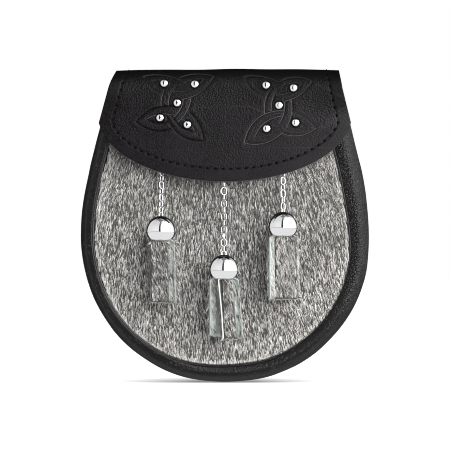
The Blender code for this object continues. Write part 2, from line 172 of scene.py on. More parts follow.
def addWall(piece, thickness, rimMaterial=0, softEdge=0.0):
    # a wall laid on the inner side of a surface, with its cut edges softened
    wall = piece.modifiers.new("Wall", "SOLIDIFY")
    wall.thickness = thickness * mm
    wall.offset = -1
    wall.use_even_offset = True
    wall.material_offset_rim = rimMaterial
    if softEdge:
        bevel = piece.modifiers.new("Soft edge", "BEVEL")
        bevel.width = softEdge * mm
        bevel.segments = 2
        bevel.limit_method = "ANGLE"
        bevel.angle_limit = math.radians(50)


def merged(parts):
    # several (points, faces) meshes as one
    points, faces, count = [], [], 0
    for somePoints, someFaces in parts:
        points.append(somePoints)
        faces.append(someFaces + count)
        count += len(somePoints)
    return np.concatenate(points), np.concatenate(faces)


def tube(path, radius, sides, closed=False, up=(0, -1, 0)):
    # a circle carried along a path; radius may change from point to point; open ends shrink to a point
    along = unit(np.roll(path, -1, 0) - np.roll(path, 1, 0) if closed else np.gradient(path, axis=0))
    side = unit(np.cross(along, np.broadcast_to(np.asarray(up, float), path.shape)))
    rise = np.cross(side, along)
    radius = np.broadcast_to(radius, len(path)).astype(float)
    turn = np.linspace(0, math.tau, sides, endpoint=False)
    ring = side[:, None] * np.cos(turn)[None, :, None] + rise[:, None] * np.sin(turn)[None, :, None]
    points = (path[:, None] + ring * radius[:, None, None]).reshape(-1, 3)
    faces = gridFaces(len(path), sides, True)
    if closed:
        last = (len(path) - 1) * sides
        j = np.arange(sides)
        faces = np.vstack([faces, np.stack([last + j, last + (j + 1) % sides, (j + 1) % sides, j], 1)])
    return points, faces[:, ::-1]


def lathe(profile, steps, matrix):
    # radius and height points turned about an axis; matrix is (origin, x, y, axis) in mm
    origin, xDirection, yDirection, axis = matrix
    turn = np.linspace(0, math.tau, steps, endpoint=False)
    ring = np.cos(turn)[:, None] * xDirection + np.sin(turn)[:, None] * yDirection
    points = origin + profile[:, None, :1] * ring[None] + profile[:, None, 1:] * axis
    return points.reshape(-1, 3), gridFaces(len(profile), steps, True)[:, ::-1]


# Finishes

class Nodes:
    # the nodes of a material or world: calling it adds a node and gives one of its outputs

    def __init__(self, owner):
        owner.use_nodes = True
        self.tree = owner.node_tree

    def __call__(self, kind, inputs, out, **properties):
        # an input may be a value or a socket
        node = self.tree.nodes.new("ShaderNode" + kind)
        for key, value in properties.items():
            setattr(node, key, value)
        for key, value in inputs.items():
            if isinstance(value, bpy.types.NodeSocket):
                self.tree.links.new(value, node.inputs[key])
            else:
                node.inputs[key].default_value = value
        return node.outputs[out] if out else node

    def math(self, kind, a, b=0.0, c=0.0):
        return self("Math", {0: a, 1: b, 2: c}, "Value", operation=kind)

    def times(self, a, b):
        return self.math("MULTIPLY", a, b)

    def larger(self, a, b):
        return self.math("MAXIMUM", a, b)

    def attribute(self, name):
        return self("Attribute", {}, "Fac", attribute_name=name)

    def scaled(self, value, factor, added):
        return self.math("MULTIPLY_ADD", value, factor, added)

    def ranged(self, value, low, high, start, end, kind="LINEAR"):
        # the start at or under the low value, the end at or over the high one
        inputs = {"Value": value, "From Min": low, "From Max": high, "To Min": start, "To Max": end}
        return self("MapRange", inputs, "Result", interpolation_type=kind)

    def smooth(self, value, low, high, start=0.0, end=1.0):
        return self.ranged(value, low, high, start, end, "SMOOTHSTEP")

    def fade(self, value, near, far):
        return self.smooth(value, near, far, 1.0, 0.0)

    def mixed(self, share, a, b):
        # a at share 0, b at share 1
        return self.ranged(share, 0.0, 1.0, a, b)

    def tinted(self, share, a, b, kind="MIX"):
        return self("Mix", {"Factor": share, "A": a, "B": b}, "Result", data_type="RGBA", blend_type=kind)

    def ramp(self, value, *stops):
        # colours or greys by value, from stops of a place and a colour
        node = self("ValToRGB", {"Fac": value}, None)
        while len(node.color_ramp.elements) < len(stops):
            node.color_ramp.elements.new(0.5)
        for element, (place, colour) in zip(node.color_ramp.elements, stops):
            element.position = place
            element.color = (*colour, 1) if isinstance(colour, tuple) else (colour, colour, colour, 1)
        return node.outputs["Color"]


class Finish(Nodes):
    # a material whose shader takes constants from settings, and patterns through use

    def __init__(self, name, colour, **settings):
        self.material = bpy.data.materials.new(name)
        super().__init__(self.material)
        self.inputs = self.tree.nodes["Principled BSDF"].inputs
        self.inputs["Base Color"].default_value = (*colour, 1)
        for label, value in settings.items():
            self.inputs[label.replace("_", " ")].default_value = value

    def place(self):
        return self("TexCoord", {}, "Object")

    def use(self, label, socket):
        self.tree.links.new(socket, self.inputs[label])

    def lift(self, height, strength, distance):
        # a bump of that height, in mm
        inputs = {"Height": height, "Strength": strength, "Distance": distance * mm}
        self.use("Normal", self("Bump", inputs, "Normal"))


leatherLook = Sizes(
    dark=(0.0009, 0.0007, 0.0009),
    light=(0.0050, 0.0036, 0.0048),
    glint=(0.0060, 0.0044, 0.0058),  # the highest grains, painted paler as glints
    grain=1.1,  # mm from pebble to pebble
    depth=0.27,  # mm of the pebbles
    roughness=0.38,
    specular=0.112,
)
tooledLook = Sizes(
    cut=(0.06, 0.46),  # mm from a line's middle: pressed fully, and not at all
    core=(0.04, 0.38),  # the same for the middle, painted darker as shade or paler as a highlight
    hole=(0.7, 1.15),  # the same for a stitch hole
    press=2.6,  # depth of a line and of a hole, in depths of the pebbles
    punch=1.6,
    fold=(0.0003, 0.0003, 0.0003, 1),  # colours of the painted shade on the fold's top, the painted highlight along lines, and the painted shade in lines and holes
    shine=(0.078, 0.074, 0.077, 1),
    deep=(0.0008, 0.0008, 0.0008, 1),
)


def leather(name, tooled=False, smoothed=0.0, **changes):
    # pebbled leather: rounded cells for the grain and finer creases on top, with painted shade in the valleys
    # and painted glints on the highest grains; where the mesh's bandShare is 1 the grain is lower by the
    # share smoothed
    look = Sizes({**leatherLook, **changes})
    n = Finish(name, look.light, Specular_IOR_Level=look.specular)
    place = n.place()
    pebbles = n("TexVoronoi", {"Vector": place, "Scale": 1000 / look.grain, "Randomness": 0.95}, "Distance",
                feature="F1")
    crease = n("TexNoise", {"Vector": place, "Scale": 760.0, "Detail": 2.0, "Roughness": 0.5}, "Fac")
    broad = n("TexNoise", {"Vector": place, "Scale": 45.0, "Detail": 2.0}, "Fac")
    height = n.scaled(crease, 0.6, n.times(pebbles, -0.8))
    if smoothed:
        height = n.times(height, n.scaled(n.attribute("bandShare"), -smoothed, 1.0))
    # painted shade and glints: darker in the pebbles' valleys, paler on their tops and on the highest creases
    tone = n.scaled(pebbles, -0.6, n.scaled(broad, 0.3, n.times(crease, 0.9)))
    tint = n.ramp(tone, (0.14, look.dark), (0.50, look.light), (0.66, look.glint))
    rough = n.ranged(crease, 0.3, 0.7, look.roughness - 0.05, look.roughness + 0.08)
    if tooled:
        # lines pressed by a tool and holes for the thread: the mesh carries how far away they are, in mm
        side = n.math("ABSOLUTE", n.attribute("toolSide"))
        cut, core = n.fade(side, *tooledLook.cut), n.fade(side, *tooledLook.core)
        pressed = n.times(n.times(cut, n.fade(n.attribute("toolLine"), 0.5, 0.85)), n.attribute("toolDepth"))
        punched = n.fade(n.attribute("stitchHole"), *tooledLook.hole)
        height = n.scaled(pressed, -tooledLook.press, height)
        height = n.scaled(punched, -tooledLook.punch, height)
        # painted shade: the fold's top is darker, as less light falls on it
        foldShade = n.attribute("foldShare")
        tint = n.tinted(foldShade, tint, tooledLook.fold)
        # painted highlight: a paler middle along the lines that catch light, less of it on the fold
        highlighted = n.times(core, n.times(n.attribute("toolShine"), n.fade(foldShade, 0.3, 1.25)))
        tint = n.tinted(highlighted, tint, tooledLook.shine)
        # painted shade: the middles of pressed lines and the stitch holes are painted near black
        tint = n.tinted(n.larger(n.times(core, n.times(pressed, 0.40)), punched), tint, tooledLook.deep)
        rough = n.mixed(punched, rough, 0.9)
    n.lift(height, 1.0, look.depth)
    n.use("Base Color", tint)
    n.use("Roughness", rough)
    return n.material


def plainFinish(name, colour, pattern, scales, bump, stops=(), dulling=(), **settings):
    # one fine pattern lifts the surface and sets either its tint, by stops, or its roughness, by dulling
    n = Finish(name, colour, **settings)
    fine = n("Tex" + pattern, {"Vector": n.place(), **scales}, "Fac")
    n.lift(fine, *bump)
    if stops:
        n.use("Base Color", n.ramp(fine, *stops))
    if dulling:
        n.use("Roughness", n.mixed(fine, *dulling))
    return n.material


def chromeFinish(name, bright, dulling):
    # polished plating with the faintest ripple and dulling
    return plainFinish(name, (bright, bright, bright + 0.01), "Noise", {"Scale": 260.0, "Detail": 1.0},
                       (0.12, 0.05), dulling=dulling, Metallic=1.0)


def hideFinish(name, dark, light):
    # the skin side or the skin under the hair: matt, mottled and slightly fibrous
    return plainFinish(name, light, "Noise", {"Scale": 500.0, "Detail": 4.0, "Roughness": 0.7}, (0.6, 0.15),
                       [(0.3, dark), (0.7, light)], Roughness=0.9, Specular_IOR_Level=0.15)


coatLook = Sizes(
    black=(0.026, 0.025, 0.024),
    grey=(0.172, 0.168, 0.159),
    silver=(0.430, 0.421, 0.399),
    white=(0.655, 0.642, 0.613),
)


def coatFinish(name):
    # hair colour: its map holds the hair's tone across and the way from root to tip up
    n = Finish(name, coatLook.grey, Roughness=0.62, Specular_IOR_Level=0.22)
    split = n("SeparateXYZ", {"Vector": n("UVMap", {}, "UV", uv_map="hair")}, None).outputs
    tone = n.ramp(split["X"], (0.0, coatLook.black), (0.38, coatLook.grey), (0.72, coatLook.silver),
                  (1.0, coatLook.white))
    paler = n.ramp(split["Y"], (0.0, 0.60), (0.35, 0.88), (1.0, 1.0))
    n.use("Base Color", n.tinted(1.0, tone, paler, "MULTIPLY"))
    return n.material


flapLeather = leather("flap leather", tooled=True, smoothed=0.5)
bodyLeather = leather(
    "moulded leather", smoothed=0.7, light=(0.0046, 0.0039, 0.0045), glint=(0.050, 0.047, 0.050), grain=1.3,
    depth=0.95, roughness=0.36, specular=0.205)
beadLeather = leather(
    "piping leather", light=(0.020, 0.019, 0.020), glint=(0.020, 0.019, 0.020), depth=0.04, roughness=0.32,
    specular=0.30)
backLeather = leather(
    "back leather", dark=(0.007, 0.0068, 0.007), light=(0.020, 0.0195, 0.020), glint=(0.022, 0.0215, 0.022),
    grain=1.6, depth=0.10, roughness=0.50, specular=0.30)
edgePaint = plainFinish(
    "painted edge", (0.02, 0.02, 0.021), "Noise", {"Scale": 900.0, "Detail": 2.0}, (0.5, 0.08),
    [(0.3, (0.012, 0.012, 0.013)), (0.7, (0.035, 0.035, 0.036))], Roughness=0.42)
threadAndPaintedShadow = plainFinish(
    "black thread", (0.002, 0.002, 0.002), "Wave", {"Scale": 420.0, "Distortion": 3.0}, (0.6, 0.06),
    [(0.2, (0.0012, 0.0012, 0.0012)), (0.8, (0.0035, 0.0035, 0.0037))], Roughness=0.8,
    Specular_IOR_Level=0.01)
chrome = chromeFinish("chrome", 0.90, (0.03, 0.09))
chainChrome = chromeFinish("chain chrome", 0.55, (0.12, 0.24))
skinUnder = hideFinish("skin under the hair", (0.022, 0.0215, 0.020), (0.062, 0.060, 0.056))
paleHide = hideFinish("pale hide", (0.21, 0.236, 0.217), (0.34, 0.370, 0.345))
cutHide = hideFinish("cut edge of the hide", (0.15, 0.161, 0.149), (0.25, 0.263, 0.245))
highlightedCut = hideFinish("cut edge of the hide with a painted highlight", (0.34, 0.34, 0.32), (0.50, 0.50, 0.47))
hairCoat = coatFinish("salt and pepper hair")
print("stage: finishes")


# The pouch's outline: a half circle below, a wide bend on each side, straight leaning sides above

pouch = Sizes(
    top=36.0,
    width=190.0,
    height=206.0,
    lean=math.radians(14),
    sideRadius=212.0,
    rimLeft=9.2,
    rimLow=11.7,
    rimRight=13.7,
    widen=2.0,  # the right rim is this much wider at the flap
    lipBack=1.2,
    mouth=29.5,
    wall=2.0,
    seamTop=21.0,  # upper end of the seam between the rim and the front
    settle=0.7,  # the lower half hangs this much to the right
    draw=0.85,  # the left side is drawn in this much below the flap
    tuck=0.95,  # and the left side of the mouth is drawn in this much more behind the flap
    full=1.3,  # fullness low down on both sides
)
lowRadius = pouch.width / 2
middleZ = pouch.top - pouch.height + lowRadius
lowRun = lowRadius * math.pi / 2
bendRun = pouch.sideRadius * pouch.lean
bendX = lowRadius - pouch.sideRadius * (1 - math.cos(pouch.lean))
bendZ = middleZ + pouch.sideRadius * math.sin(pouch.lean)


def sideways(z, side):
    # how far the sides stand off the even shape: a settling low down, and a dip on the left side
    low = pouch.settle * smoothStep((-70 - z) / 35)
    dip = pouch.draw * smoothStep((z + 62) / 30) + pouch.tuck * smoothStep((z - 8) / 20)
    return low + np.where(side < 0, dip, 0)


def fullness(angle):
    # a swelling 38 degrees up from the lowest point, 36 degrees wide each way and none at the lowest point
    swell = pouch.full * np.exp(-np.abs((angle - math.radians(38)) / math.radians(36)) ** 3)
    return swell * smoothStep(angle / math.radians(20))


def outline(run, y, inset):
    # points drawn in by the inset, at a signed run from the lowest one: arc, wide arc, then a straight line
    side, r = np.sign(run), np.abs(run)
    low = r < lowRun
    above = np.minimum((r - lowRun) / pouch.sideRadius, pouch.lean)
    angle = np.where(low, r / lowRadius - math.pi / 2, above)
    nx, nz = np.cos(angle), np.sin(angle)
    radius = np.where(low, lowRadius, pouch.sideRadius)
    straight = np.maximum(r - lowRun - bendRun, 0)
    swell = fullness(r / lowRadius)
    x = lowRadius - radius + (radius + swell) * nx - straight * nz
    z = middleZ + (radius + swell) * nz + straight * nx
    x = side * x + sideways(z, side) - side * nx * inset
    return np.stack(np.broadcast_arrays(x, y, z - nz * inset), -1)


def runTo(z):
    # the run at which the straight side reaches a height
    return lowRun + bendRun + (z - bendZ) / math.cos(pouch.lean)


def rimWidth(run):
    # the rim outside the hair changes evenly from the bottom to each side
    share = np.sin(np.minimum(np.abs(run) / lowRun, 1) * math.pi / 2)
    sideWidth = np.where(run > 0, pouch.rimRight, pouch.rimLeft)
    wider = np.where(run > 0, pouch.widen, 0) * smoothStep((np.abs(run) - lowRun + 10) / 45)
    return pouch.rimLow + (sideWidth - pouch.rimLow) * share + wider


def depthInside(x, z):
    # how far a point lies inside the rim's inner edge, in mm
    x = x - sideways(z, np.sign(x))
    ax = np.abs(x)
    low = lowRadius + fullness(np.arctan2(ax, middleZ - z)) - np.hypot(ax, z - middleZ)
    bend = pouch.sideRadius - np.hypot(ax - lowRadius + pouch.sideRadius, z - middleZ)
    line = -((ax - bendX) * math.cos(pouch.lean) + (z - bendZ) * math.sin(pouch.lean))
    inside = np.where(z < middleZ, low, np.where(z < bendZ, bend, line))
    turn = np.where(z < middleZ, np.arctan2(ax, np.maximum(middleZ - z, 1e-6)), math.pi / 2)
    run = turn / (math.pi / 2) * lowRun + np.maximum(z - middleZ, 0)
    return inside - rimWidth(np.sign(x) * run)


gusset = Sizes(
    inset=8.7,  # the lip's inset at which its section is drawn
    shares=(0.48, 0.20, 0.06, 0.0, 0.04, 0.14, 0.30, 0.46, 0.60, 0.80, 1.0),  # inset, of the lip's inset
    depths=(-2.7, -5.2, -9.5, -15.5, -21.5, -27.0, -32.0, -35.0, -35.9, -35.5, -34.6),
    flat=2.2,  # on the left the lip doesn't fall towards the hair: it is this much higher at its edge
    rake=9.0,  # the lip's end reaches share * rake * sin(lean) higher, because the sides lean
    sag=0.22,
    columns=372,
    rows=56,
)
piping = Sizes(
    radius=0.48,
    inset=0.9,
    depth=-33.6,
    left=(0.28, 1.7, 0.08),  # more inset, height and radius on the left
)


def makeGusset():
    # the section's smooth curve of inset and depth, carried round the outline
    section = smoothCurve(list(zip(np.array(gusset.shares) * gusset.inset, gusset.depths)), gusset.rows)
    share, depth = section[:, :1] / gusset.inset, section[:, 1:]
    cut = pouch.mouth - np.maximum(-24.0 - depth, 0) * 0.6
    run = np.linspace(-1, 1, gusset.columns) * runTo(cut + share * gusset.rake * math.sin(pouch.lean))
    sag = gusset.sag * waves(run, depth * 2.0, 46.0, 3)
    sag = sag * np.sin(np.linspace(0, math.pi, gusset.rows)[:, None])
    inset = share * (rimWidth(run) - pouch.lipBack) + np.maximum(sag, 0)
    lifted = gusset.flat * smoothStep((share - 0.6) / 0.4) * (depth < -30) * smoothStep(-run / 60)
    shape = sheet(outline(run, depth - lifted, inset), False)
    piece = makePiece("mouldedGusset", shape, [bodyLeather, edgePaint], "gusset", False)
    addNumbers(piece, "bandShare", 1 - smoothStep((run - 70) / 60))  # the grain shows on the right side
    addWall(piece, pouch.wall, 1)


def makePiping():
    # a thin rolled edge of leather between the rim and the hair, which stands out on the left only
    top = runTo(pouch.seamTop)
    run = np.linspace(-top, top, 520)
    left = smoothStep((-20 - run) / 90)
    moreInset, moreHeight, moreRadius = piping.left
    inset = rimWidth(run) - piping.inset + moreInset * left
    path = outline(run, piping.depth - moreHeight * left, inset)
    radius = piping.radius + moreRadius * left + 0.03 * np.sin(run * 1.7)
    radius[0] = radius[-1] = 0.05
    makePiece("pipedEdge", tube(path, radius, 12), [beadLeather], "welt", False)


makeGusset()
makePiping()
print("stage: gusset and piping")


# Front of hair-on hide

front = Sizes(
    edgeY=-34.8,
    crown=3.4,
    crownZ=-85.0,
    hide=1.2,  # thickness of the skin
    coat=1.5,  # from the hide's inner face to the flattened hair's face
    lock=(0.42, 1.9),  # mm from lock to lock, across and down
    hairs=3,  # in a lock
    length=(5.0, 8.0),
    width=(0.23, 0.40),
    lift=(0.6, 1.9),
    seam=0.9,  # mm of the skin's edge by the piping painted as shadow, in the thread's black
    gap=0.4,  # left bare inside the piping; on the right some tips cross it
    untidy=(4, 5, 3.0),  # degrees that the lean varies by: in waves, from lock to lock, and in a lock
    speckle=(0.22, 0.15),  # how much the tone varies from lock to lock, and in a lock
    straight=0.62,  # a hair whose flow crosses the piping by more than this share isn't turned along it
)


def leftSide(x, z):
    # 1 along the left side, where the skin is drawn up to the piping, and 0 low down and on the right
    return smoothStep((-10 - x) / 40) * smoothStep((z + 130) / 30)


def frontY(x, z):
    # the hair's face: highest at crownZ, falling to the edge by a power of the distance
    reach = np.hypot(x / 84.4, (z - front.crownZ) / np.where(z > front.crownZ, 110.0, 76.0))
    return front.edgeY - front.crown * np.maximum(1 - reach ** 2.4, 0)


def skinY(x, z):
    # the inner face of the hide under the coat, less deep near the edge on the left
    return frontY(x, z) + front.coat * (1 - 0.55 * leftSide(x, z) * (1 - smoothStep(depthInside(x, z) / 7)))


flap = Sizes(
    thick=2.8,
    topLeft=71.2,
    topRight=75.0,
    sideLeft=76.45,
    sideRight=77.1,
    cornerZ=0.5,
    endHalf=83.3,
    endRise=44.0,
    low=-38.0,
    lapZ=19.5,
    backBend=10.0,
    frontBend=15.0,
    frontBendY=-25.0,
    slant=math.radians(8),
    curl=4.5,
    bow=0.9,  # the fold is this much lower at its ends
    columns=256,
    foldRows=48,
    frontRows=118,
    seam=8.1,  # from the edge to the stitching
    pitch=5.0,
    stitch=2.0,  # length of thread that shows
)
flap.update(lapY=0.3 + flap.thick, bendZ=pouch.top - flap.frontBend)
flap.update(startZ=flap.bendZ + flap.frontBend * math.sin(flap.slant),
            corner=math.acos(1 - (flap.cornerZ - flap.low) / flap.endRise))


def flapLowZ(x):
    # height of the flap's lower edge: half an ellipse
    return flap.low + flap.endRise * (1 - np.sqrt(np.maximum(1 - (x / flap.endHalf) ** 2, 0)))


def skinGrid(count):
    # a square grid drawn to the front's outline: each row runs from rim to rim at its own height
    fall = middleZ - lowRadius + pouch.rimLow + 0.4 - pouch.seamTop
    z = pouch.seamTop + fall * np.sin(np.linspace(0, 1, count) * math.pi / 2)
    half = []
    for side in (-1, 1):
        low, high = np.zeros(count), np.full(count, 100.0)
        for _ in range(40):  # halving steps to where the point leaves the front
            middle = (low + high) / 2
            inside = depthInside(side * middle, z) > 0.3
            low, high = np.where(inside, middle, low), np.where(inside, high, middle)
        half.append(side * low)
    across = np.sin(np.linspace(-1, 1, count) * math.pi / 2) * 0.5 + 0.5
    x = half[0][:, None] + (half[1] - half[0])[:, None] * across[None, :]
    z = np.broadcast_to(z[:, None], x.shape)
    return np.stack([x, skinY(x, z) - front.hide, z], -1)


def slopes(surface, x, z):
    # central differences over 1 mm, across and up
    return surface(x + 0.5, z) - surface(x - 0.5, z), surface(x, z + 0.5) - surface(x, z - 0.5)


def blades(name, root, normal, flow, length, width, lift, tone, roll, steps=(0.0, 0.4, 0.75, 1.0)):
    # one curved blade a hair: centre = root + flow * length * t + normal * lift * t^0.7, narrowing to its tip
    side = unit(np.cross(flow, normal))
    side = side * np.cos(roll)[:, None] + normal * np.sin(roll)[:, None]
    rows = []
    for t in steps:
        centre = root + flow * (length * t)[:, None] + normal * (lift * t ** 0.7 - 0.3 * (t == 0))[:, None]
        half = side * (width * 0.5 * (1 - t ** 2.2))[:, None]
        rows.append([centre] if t == 1 else [centre - half, centre + half])
    points = np.stack([p for row in rows for p in row], 1)
    each, count = points.shape[1], len(root)
    first = (np.arange(count) * each)[:, None]
    quads = [first + np.array([[k, k + 1, k + 3, k + 2]]) for k in range(0, each - 3, 2)]
    tips = first + np.array([[each - 3, each - 2, each - 1]])
    piece = makePiece(name, (points.reshape(-1, 3), *quads, tips), [hairCoat], mirrored=False)
    places = [(t, side) for t in steps for side in ((0, ) if t == 1 else (-1, 1))]
    along = np.broadcast_to([t for t, side in places], (count, each))
    lean = 0.012 * np.array([side for t, side in places])
    across = 0.015 + 0.97 * np.clip(tone, 0, 1)[:, None] + lean
    uv = np.stack([across, 0.01 + 0.98 * along], -1).reshape(-1, 2)
    corner = np.empty(len(piece.data.loops), np.int32)
    piece.data.loops.foreach_get("vertex_index", corner)
    for mapName in ("hair", "OFBake"):
        piece.data.uv_layers.new(name=mapName).uv.foreach_set("vector", uv[corner].astype(np.float32).ravel())


shadowsAndDarkHair = (  # x, z, half width, half height, strength: darker places, painted shadow under the flap's lower edge and left corner and beside the right tassel, and patches where the dark hairs outnumber the pale
    # painted shadow beside the right tassel, and darker hair
    (22, -85, 9, 34, 0.16),
    (-20, -98, 9, 26, 0.04),
    (-50, -110, 10, 16, 0.04),
    (60, -70, 12, 18, 0.05),
    # painted shadow under the flap's left corner
    (-68, -18, 14, 14, 0.14),
    # painted shadow under the flap's lower edge
    (6, -45, 60, 9, 0.08),
)


def coatFlow(x, z):
    # degrees of the hair's lean from straight down to +x: outwards, most at the upper left and lower right
    s = x / 75
    rise = np.clip((z + 75) / 50, -1, 1)
    return 4 + 9.5 * s + np.where(s < 0, 12 * rise * s, 10 * rise ** 2 * s)


def coatTone(x, z):
    # darker in painted shadow and where the dark hairs outnumber the pale, with broad cloudy patches, and
    # paler towards the bottom
    tone = 0.655 + 0.04 * waves(x, z, 26.0, 5) + 0.10 * smoothStep((-60 - z) / 50)
    for px, pz, halfWide, halfHigh, strength in shadowsAndDarkHair:
        tone -= strength * np.exp(-((x - px) / halfWide) ** 2 - ((z - pz) / halfHigh) ** 2)
    return tone


def turnedAlong(x, z, lean, depth):
    # a slanting hair near the piping loses the outward part of its flow, and so turns along the piping
    inward = unit(np.stack(slopes(depthInside, x, z), 1))
    outFlow = inward[:, 1] * np.cos(lean) - inward[:, 0] * np.sin(lean)
    excess = outFlow * (1 - smoothStep((depth + 1.5) / 7)) * ((outFlow > 0) & (outFlow < front.straight))
    return np.arctan2(np.sin(lean) + excess * inward[:, 0], np.cos(lean) - excess * inward[:, 1])


def cutShort(x, z, lean, depth, length, bare):
    # a hair whose tip would come nearer to the piping than the bare width ends there
    tipDepth = depthInside(x + length * np.sin(lean), z - length * np.cos(lean))
    share = np.clip((depth - bare) / np.maximum(depth - tipDepth, 0.01), 0.0, 1.0)
    return length * share ** (tipDepth < bare)


def makeFrontCoat():
    # locks of a few hairs each: a lock shares its tone, lean and lift, so the pelt reads as fine streaks
    draw = np.random.default_rng(11)
    across, down = front.lock
    gx, gz = np.meshgrid(np.arange(-88, 88, across), np.arange(-163, 14, down))
    lockX = (gx + draw.uniform(-0.5, 0.5, gx.shape) * across).ravel()
    lockZ = (gz + draw.uniform(-0.5, 0.5, gz.shape) * down).ravel()
    keep = (depthInside(lockX, lockZ) > front.gap) & (lockZ < flapLowZ(lockX) + 9)
    lockX, lockZ = lockX[keep], lockZ[keep]
    locks, each = len(lockX), front.hairs
    (wavy, between, within), (speckled, flecked) = front.untidy, front.speckle
    lockLean = coatFlow(lockX, lockZ) + wavy * waves(lockX, lockZ, 30.0, 21)
    lockLean = lockLean + between * draw.standard_normal(locks)
    lockTone = coatTone(lockX, lockZ) + speckled * draw.standard_normal(locks)
    lockLift = draw.uniform(*front.lift, locks)

    count = locks * each
    lean = np.radians(lockLean.repeat(each) + within * draw.standard_normal(count))
    aside, along = draw.uniform(-0.17, 0.17, count), draw.uniform(-1.9, 1.9, count)
    x = lockX.repeat(each) + aside * np.cos(lean) + along * np.sin(lean)
    z = lockZ.repeat(each) + aside * np.sin(lean) - along * np.cos(lean)
    depth = depthInside(x, z)
    length = draw.uniform(*front.length, count)
    bare = front.gap * draw.uniform(0.0, 2.0, count) + 0.25 * leftSide(x, z)
    bare = bare + draw.uniform(-1.1, 0.9, count) * smoothStep(x / 70)
    lean = turnedAlong(x, z, lean, depth)
    length = cutShort(x, z, lean, depth, length, bare)
    some = (depth > bare) & (length > 0.8) & (z < flapLowZ(x) + 9)
    x, z, lean, depth, length = x[some], z[some], lean[some], depth[some], length[some]
    lift = lockLift.repeat(each)[some] * (0.85 + 0.15 * smoothStep(depth / 5))
    lift = lift + draw.uniform(-0.15, 0.25, len(x))
    tone = lockTone.repeat(each)[some] + flecked * draw.standard_normal(len(x))
    # painted shade: hair within a few mm of the piping is darker, as the rim shades it; paler low down and a
    # little darker on the right
    tone = tone - 0.16 * (1 - smoothStep(depth / 3.5)) + 0.03 * smoothStep((-95 - z) / 30)
    tone = tone - 0.03 * smoothStep((x - 40) / 30)
    slopeX, slopeZ = slopes(skinY, x, z)
    normal = unit(np.stack([slopeX, -np.ones(len(x)), slopeZ], 1))
    flow = unit(np.stack([np.sin(lean), slopeX * np.sin(lean) - slopeZ * np.cos(lean), -np.cos(lean)], 1))
    # the roots lie in the hide, and less deep near the piping, so that the coat reaches it
    root = np.stack([x, skinY(x, z) - front.hide * 0.50 * (1 - smoothStep(depthInside(x, z) / 4.5)), z], 1)
    width = draw.uniform(*front.width, len(x))
    roll = draw.uniform(-0.5, 0.5, len(x))
    hair = (root, normal, flow, length, width, lift, tone, roll)
    for name, part in zip(("Low", "Middle", "High"), np.array_split(np.argsort(z), 3)):
        blades("frontHair" + name, *(values[part] for values in hair))
    print("  hairs on the front:", len(x))


def makeFrontHide():
    # the skin under the coat, with a painted shadow in the thread's black along its edge by the piping
    points, faces = sheet(skinGrid(90))
    piece = makePiece("frontHide", (points, faces), [skinUnder, threadAndPaintedShadow], "front_panel", False)
    # painted shadow: faces near the edge take the black thread's finish
    shadow = depthInside(points[:, 0], points[:, 2])[faces].mean(1) < front.seam
    piece.data.polygons.foreach_set("material_index", shadow.astype(np.int32))
    addWall(piece, front.hide)


makeFrontHide()
makeFrontCoat()
print("stage: front")


# Flap: a lap behind, the fold over the mouth and the tooled front

def flapFold(share):
    # y, z and the half widths along lap, back bend, top and front bend, by share of the whole run
    lap = pouch.top - flap.backBend - flap.lapZ
    back = flap.backBend * math.pi / 2
    top = flap.lapY - flap.backBend - flap.frontBendY
    bend = flap.frontBend * (math.pi / 2 - flap.slant)
    run = share * (lap + back + top + bend)
    a = np.clip((run - lap) / flap.backBend, 0, math.pi / 2)
    b = np.clip((run - lap - back - top) / flap.frontBend, 0, math.pi / 2)
    flat = np.clip(run - lap - back, 0, top)
    y = flap.lapY - flap.backBend * (1 - np.cos(a)) - flat - flap.frontBend * np.sin(b)
    z = flap.lapZ + np.minimum(run, lap) + flap.backBend * np.sin(a) - flap.frontBend * (1 - np.cos(b))
    widen = np.clip((pouch.top - z) / (pouch.top - flap.startZ), 0, 1) * (run > lap + back)
    left = flap.topLeft + (flap.sideLeft - flap.topLeft) * (1.25 * widen - 0.25 * widen ** 2)
    right = flap.topRight + (flap.sideRight - flap.topRight) * widen
    return y, z, left, right


def foldBow(x, z):
    # how far the fold sags towards its ends: a square of x, on the highest part only
    return flap.bow * ((x - 8) / 75) ** 2 * smoothStep((z - 24) / 12)


def flapY(x, z):
    # the front below the fold: a slanting plane whose sides curl back by a power of x
    drop = flap.startZ - z
    start = flap.frontBendY - flap.frontBend * math.cos(flap.slant)
    curl = flap.curl * np.abs(x / flap.endHalf) ** 2.6 * smoothStep(drop / 20)
    arc = flap.frontBendY - np.sqrt(np.maximum(flap.frontBend ** 2 - (z - flap.bendZ) ** 2, 0))
    return np.where(drop < 0, arc, start - drop * math.tan(flap.slant) + curl)


def onFlap(x, z):
    return np.stack([x, flapY(x, z), z], -1)


def flapFront(u, v):
    # straight lines from the top line, at v 0, down to half an ellipse, at v 1
    angle = (2 * u - 1) * flap.corner
    topX = -flap.sideLeft + (flap.sideLeft + flap.sideRight) * u
    x = topX * (1 - v) + flap.endHalf * np.sin(angle) * v
    return onFlap(x, flap.startZ * (1 - v) + flapLowZ(flap.endHalf * np.sin(angle)) * v)


studs = Sizes(
    dome=((0.0, 1.80), (0.9, 1.765), (1.6, 1.60), (2.25, 1.12), (2.58, 0.5), (2.65, 0.0)),
    places={
        "left_1": (-39.8, 26.1), "left_2": (-19.7, 25.6), "left_3": (-31.2, 13.3), "left_4": (-42.5, 3.5),
        "left_5": (-24.6, -1.0), "right_1": (27.0, 24.9), "right_2": (45.0, 23.1), "right_3": (35.4, 11.7),
        "right_4": (27.3, -3.6), "right_5": (46.3, 0.3),
    },
)

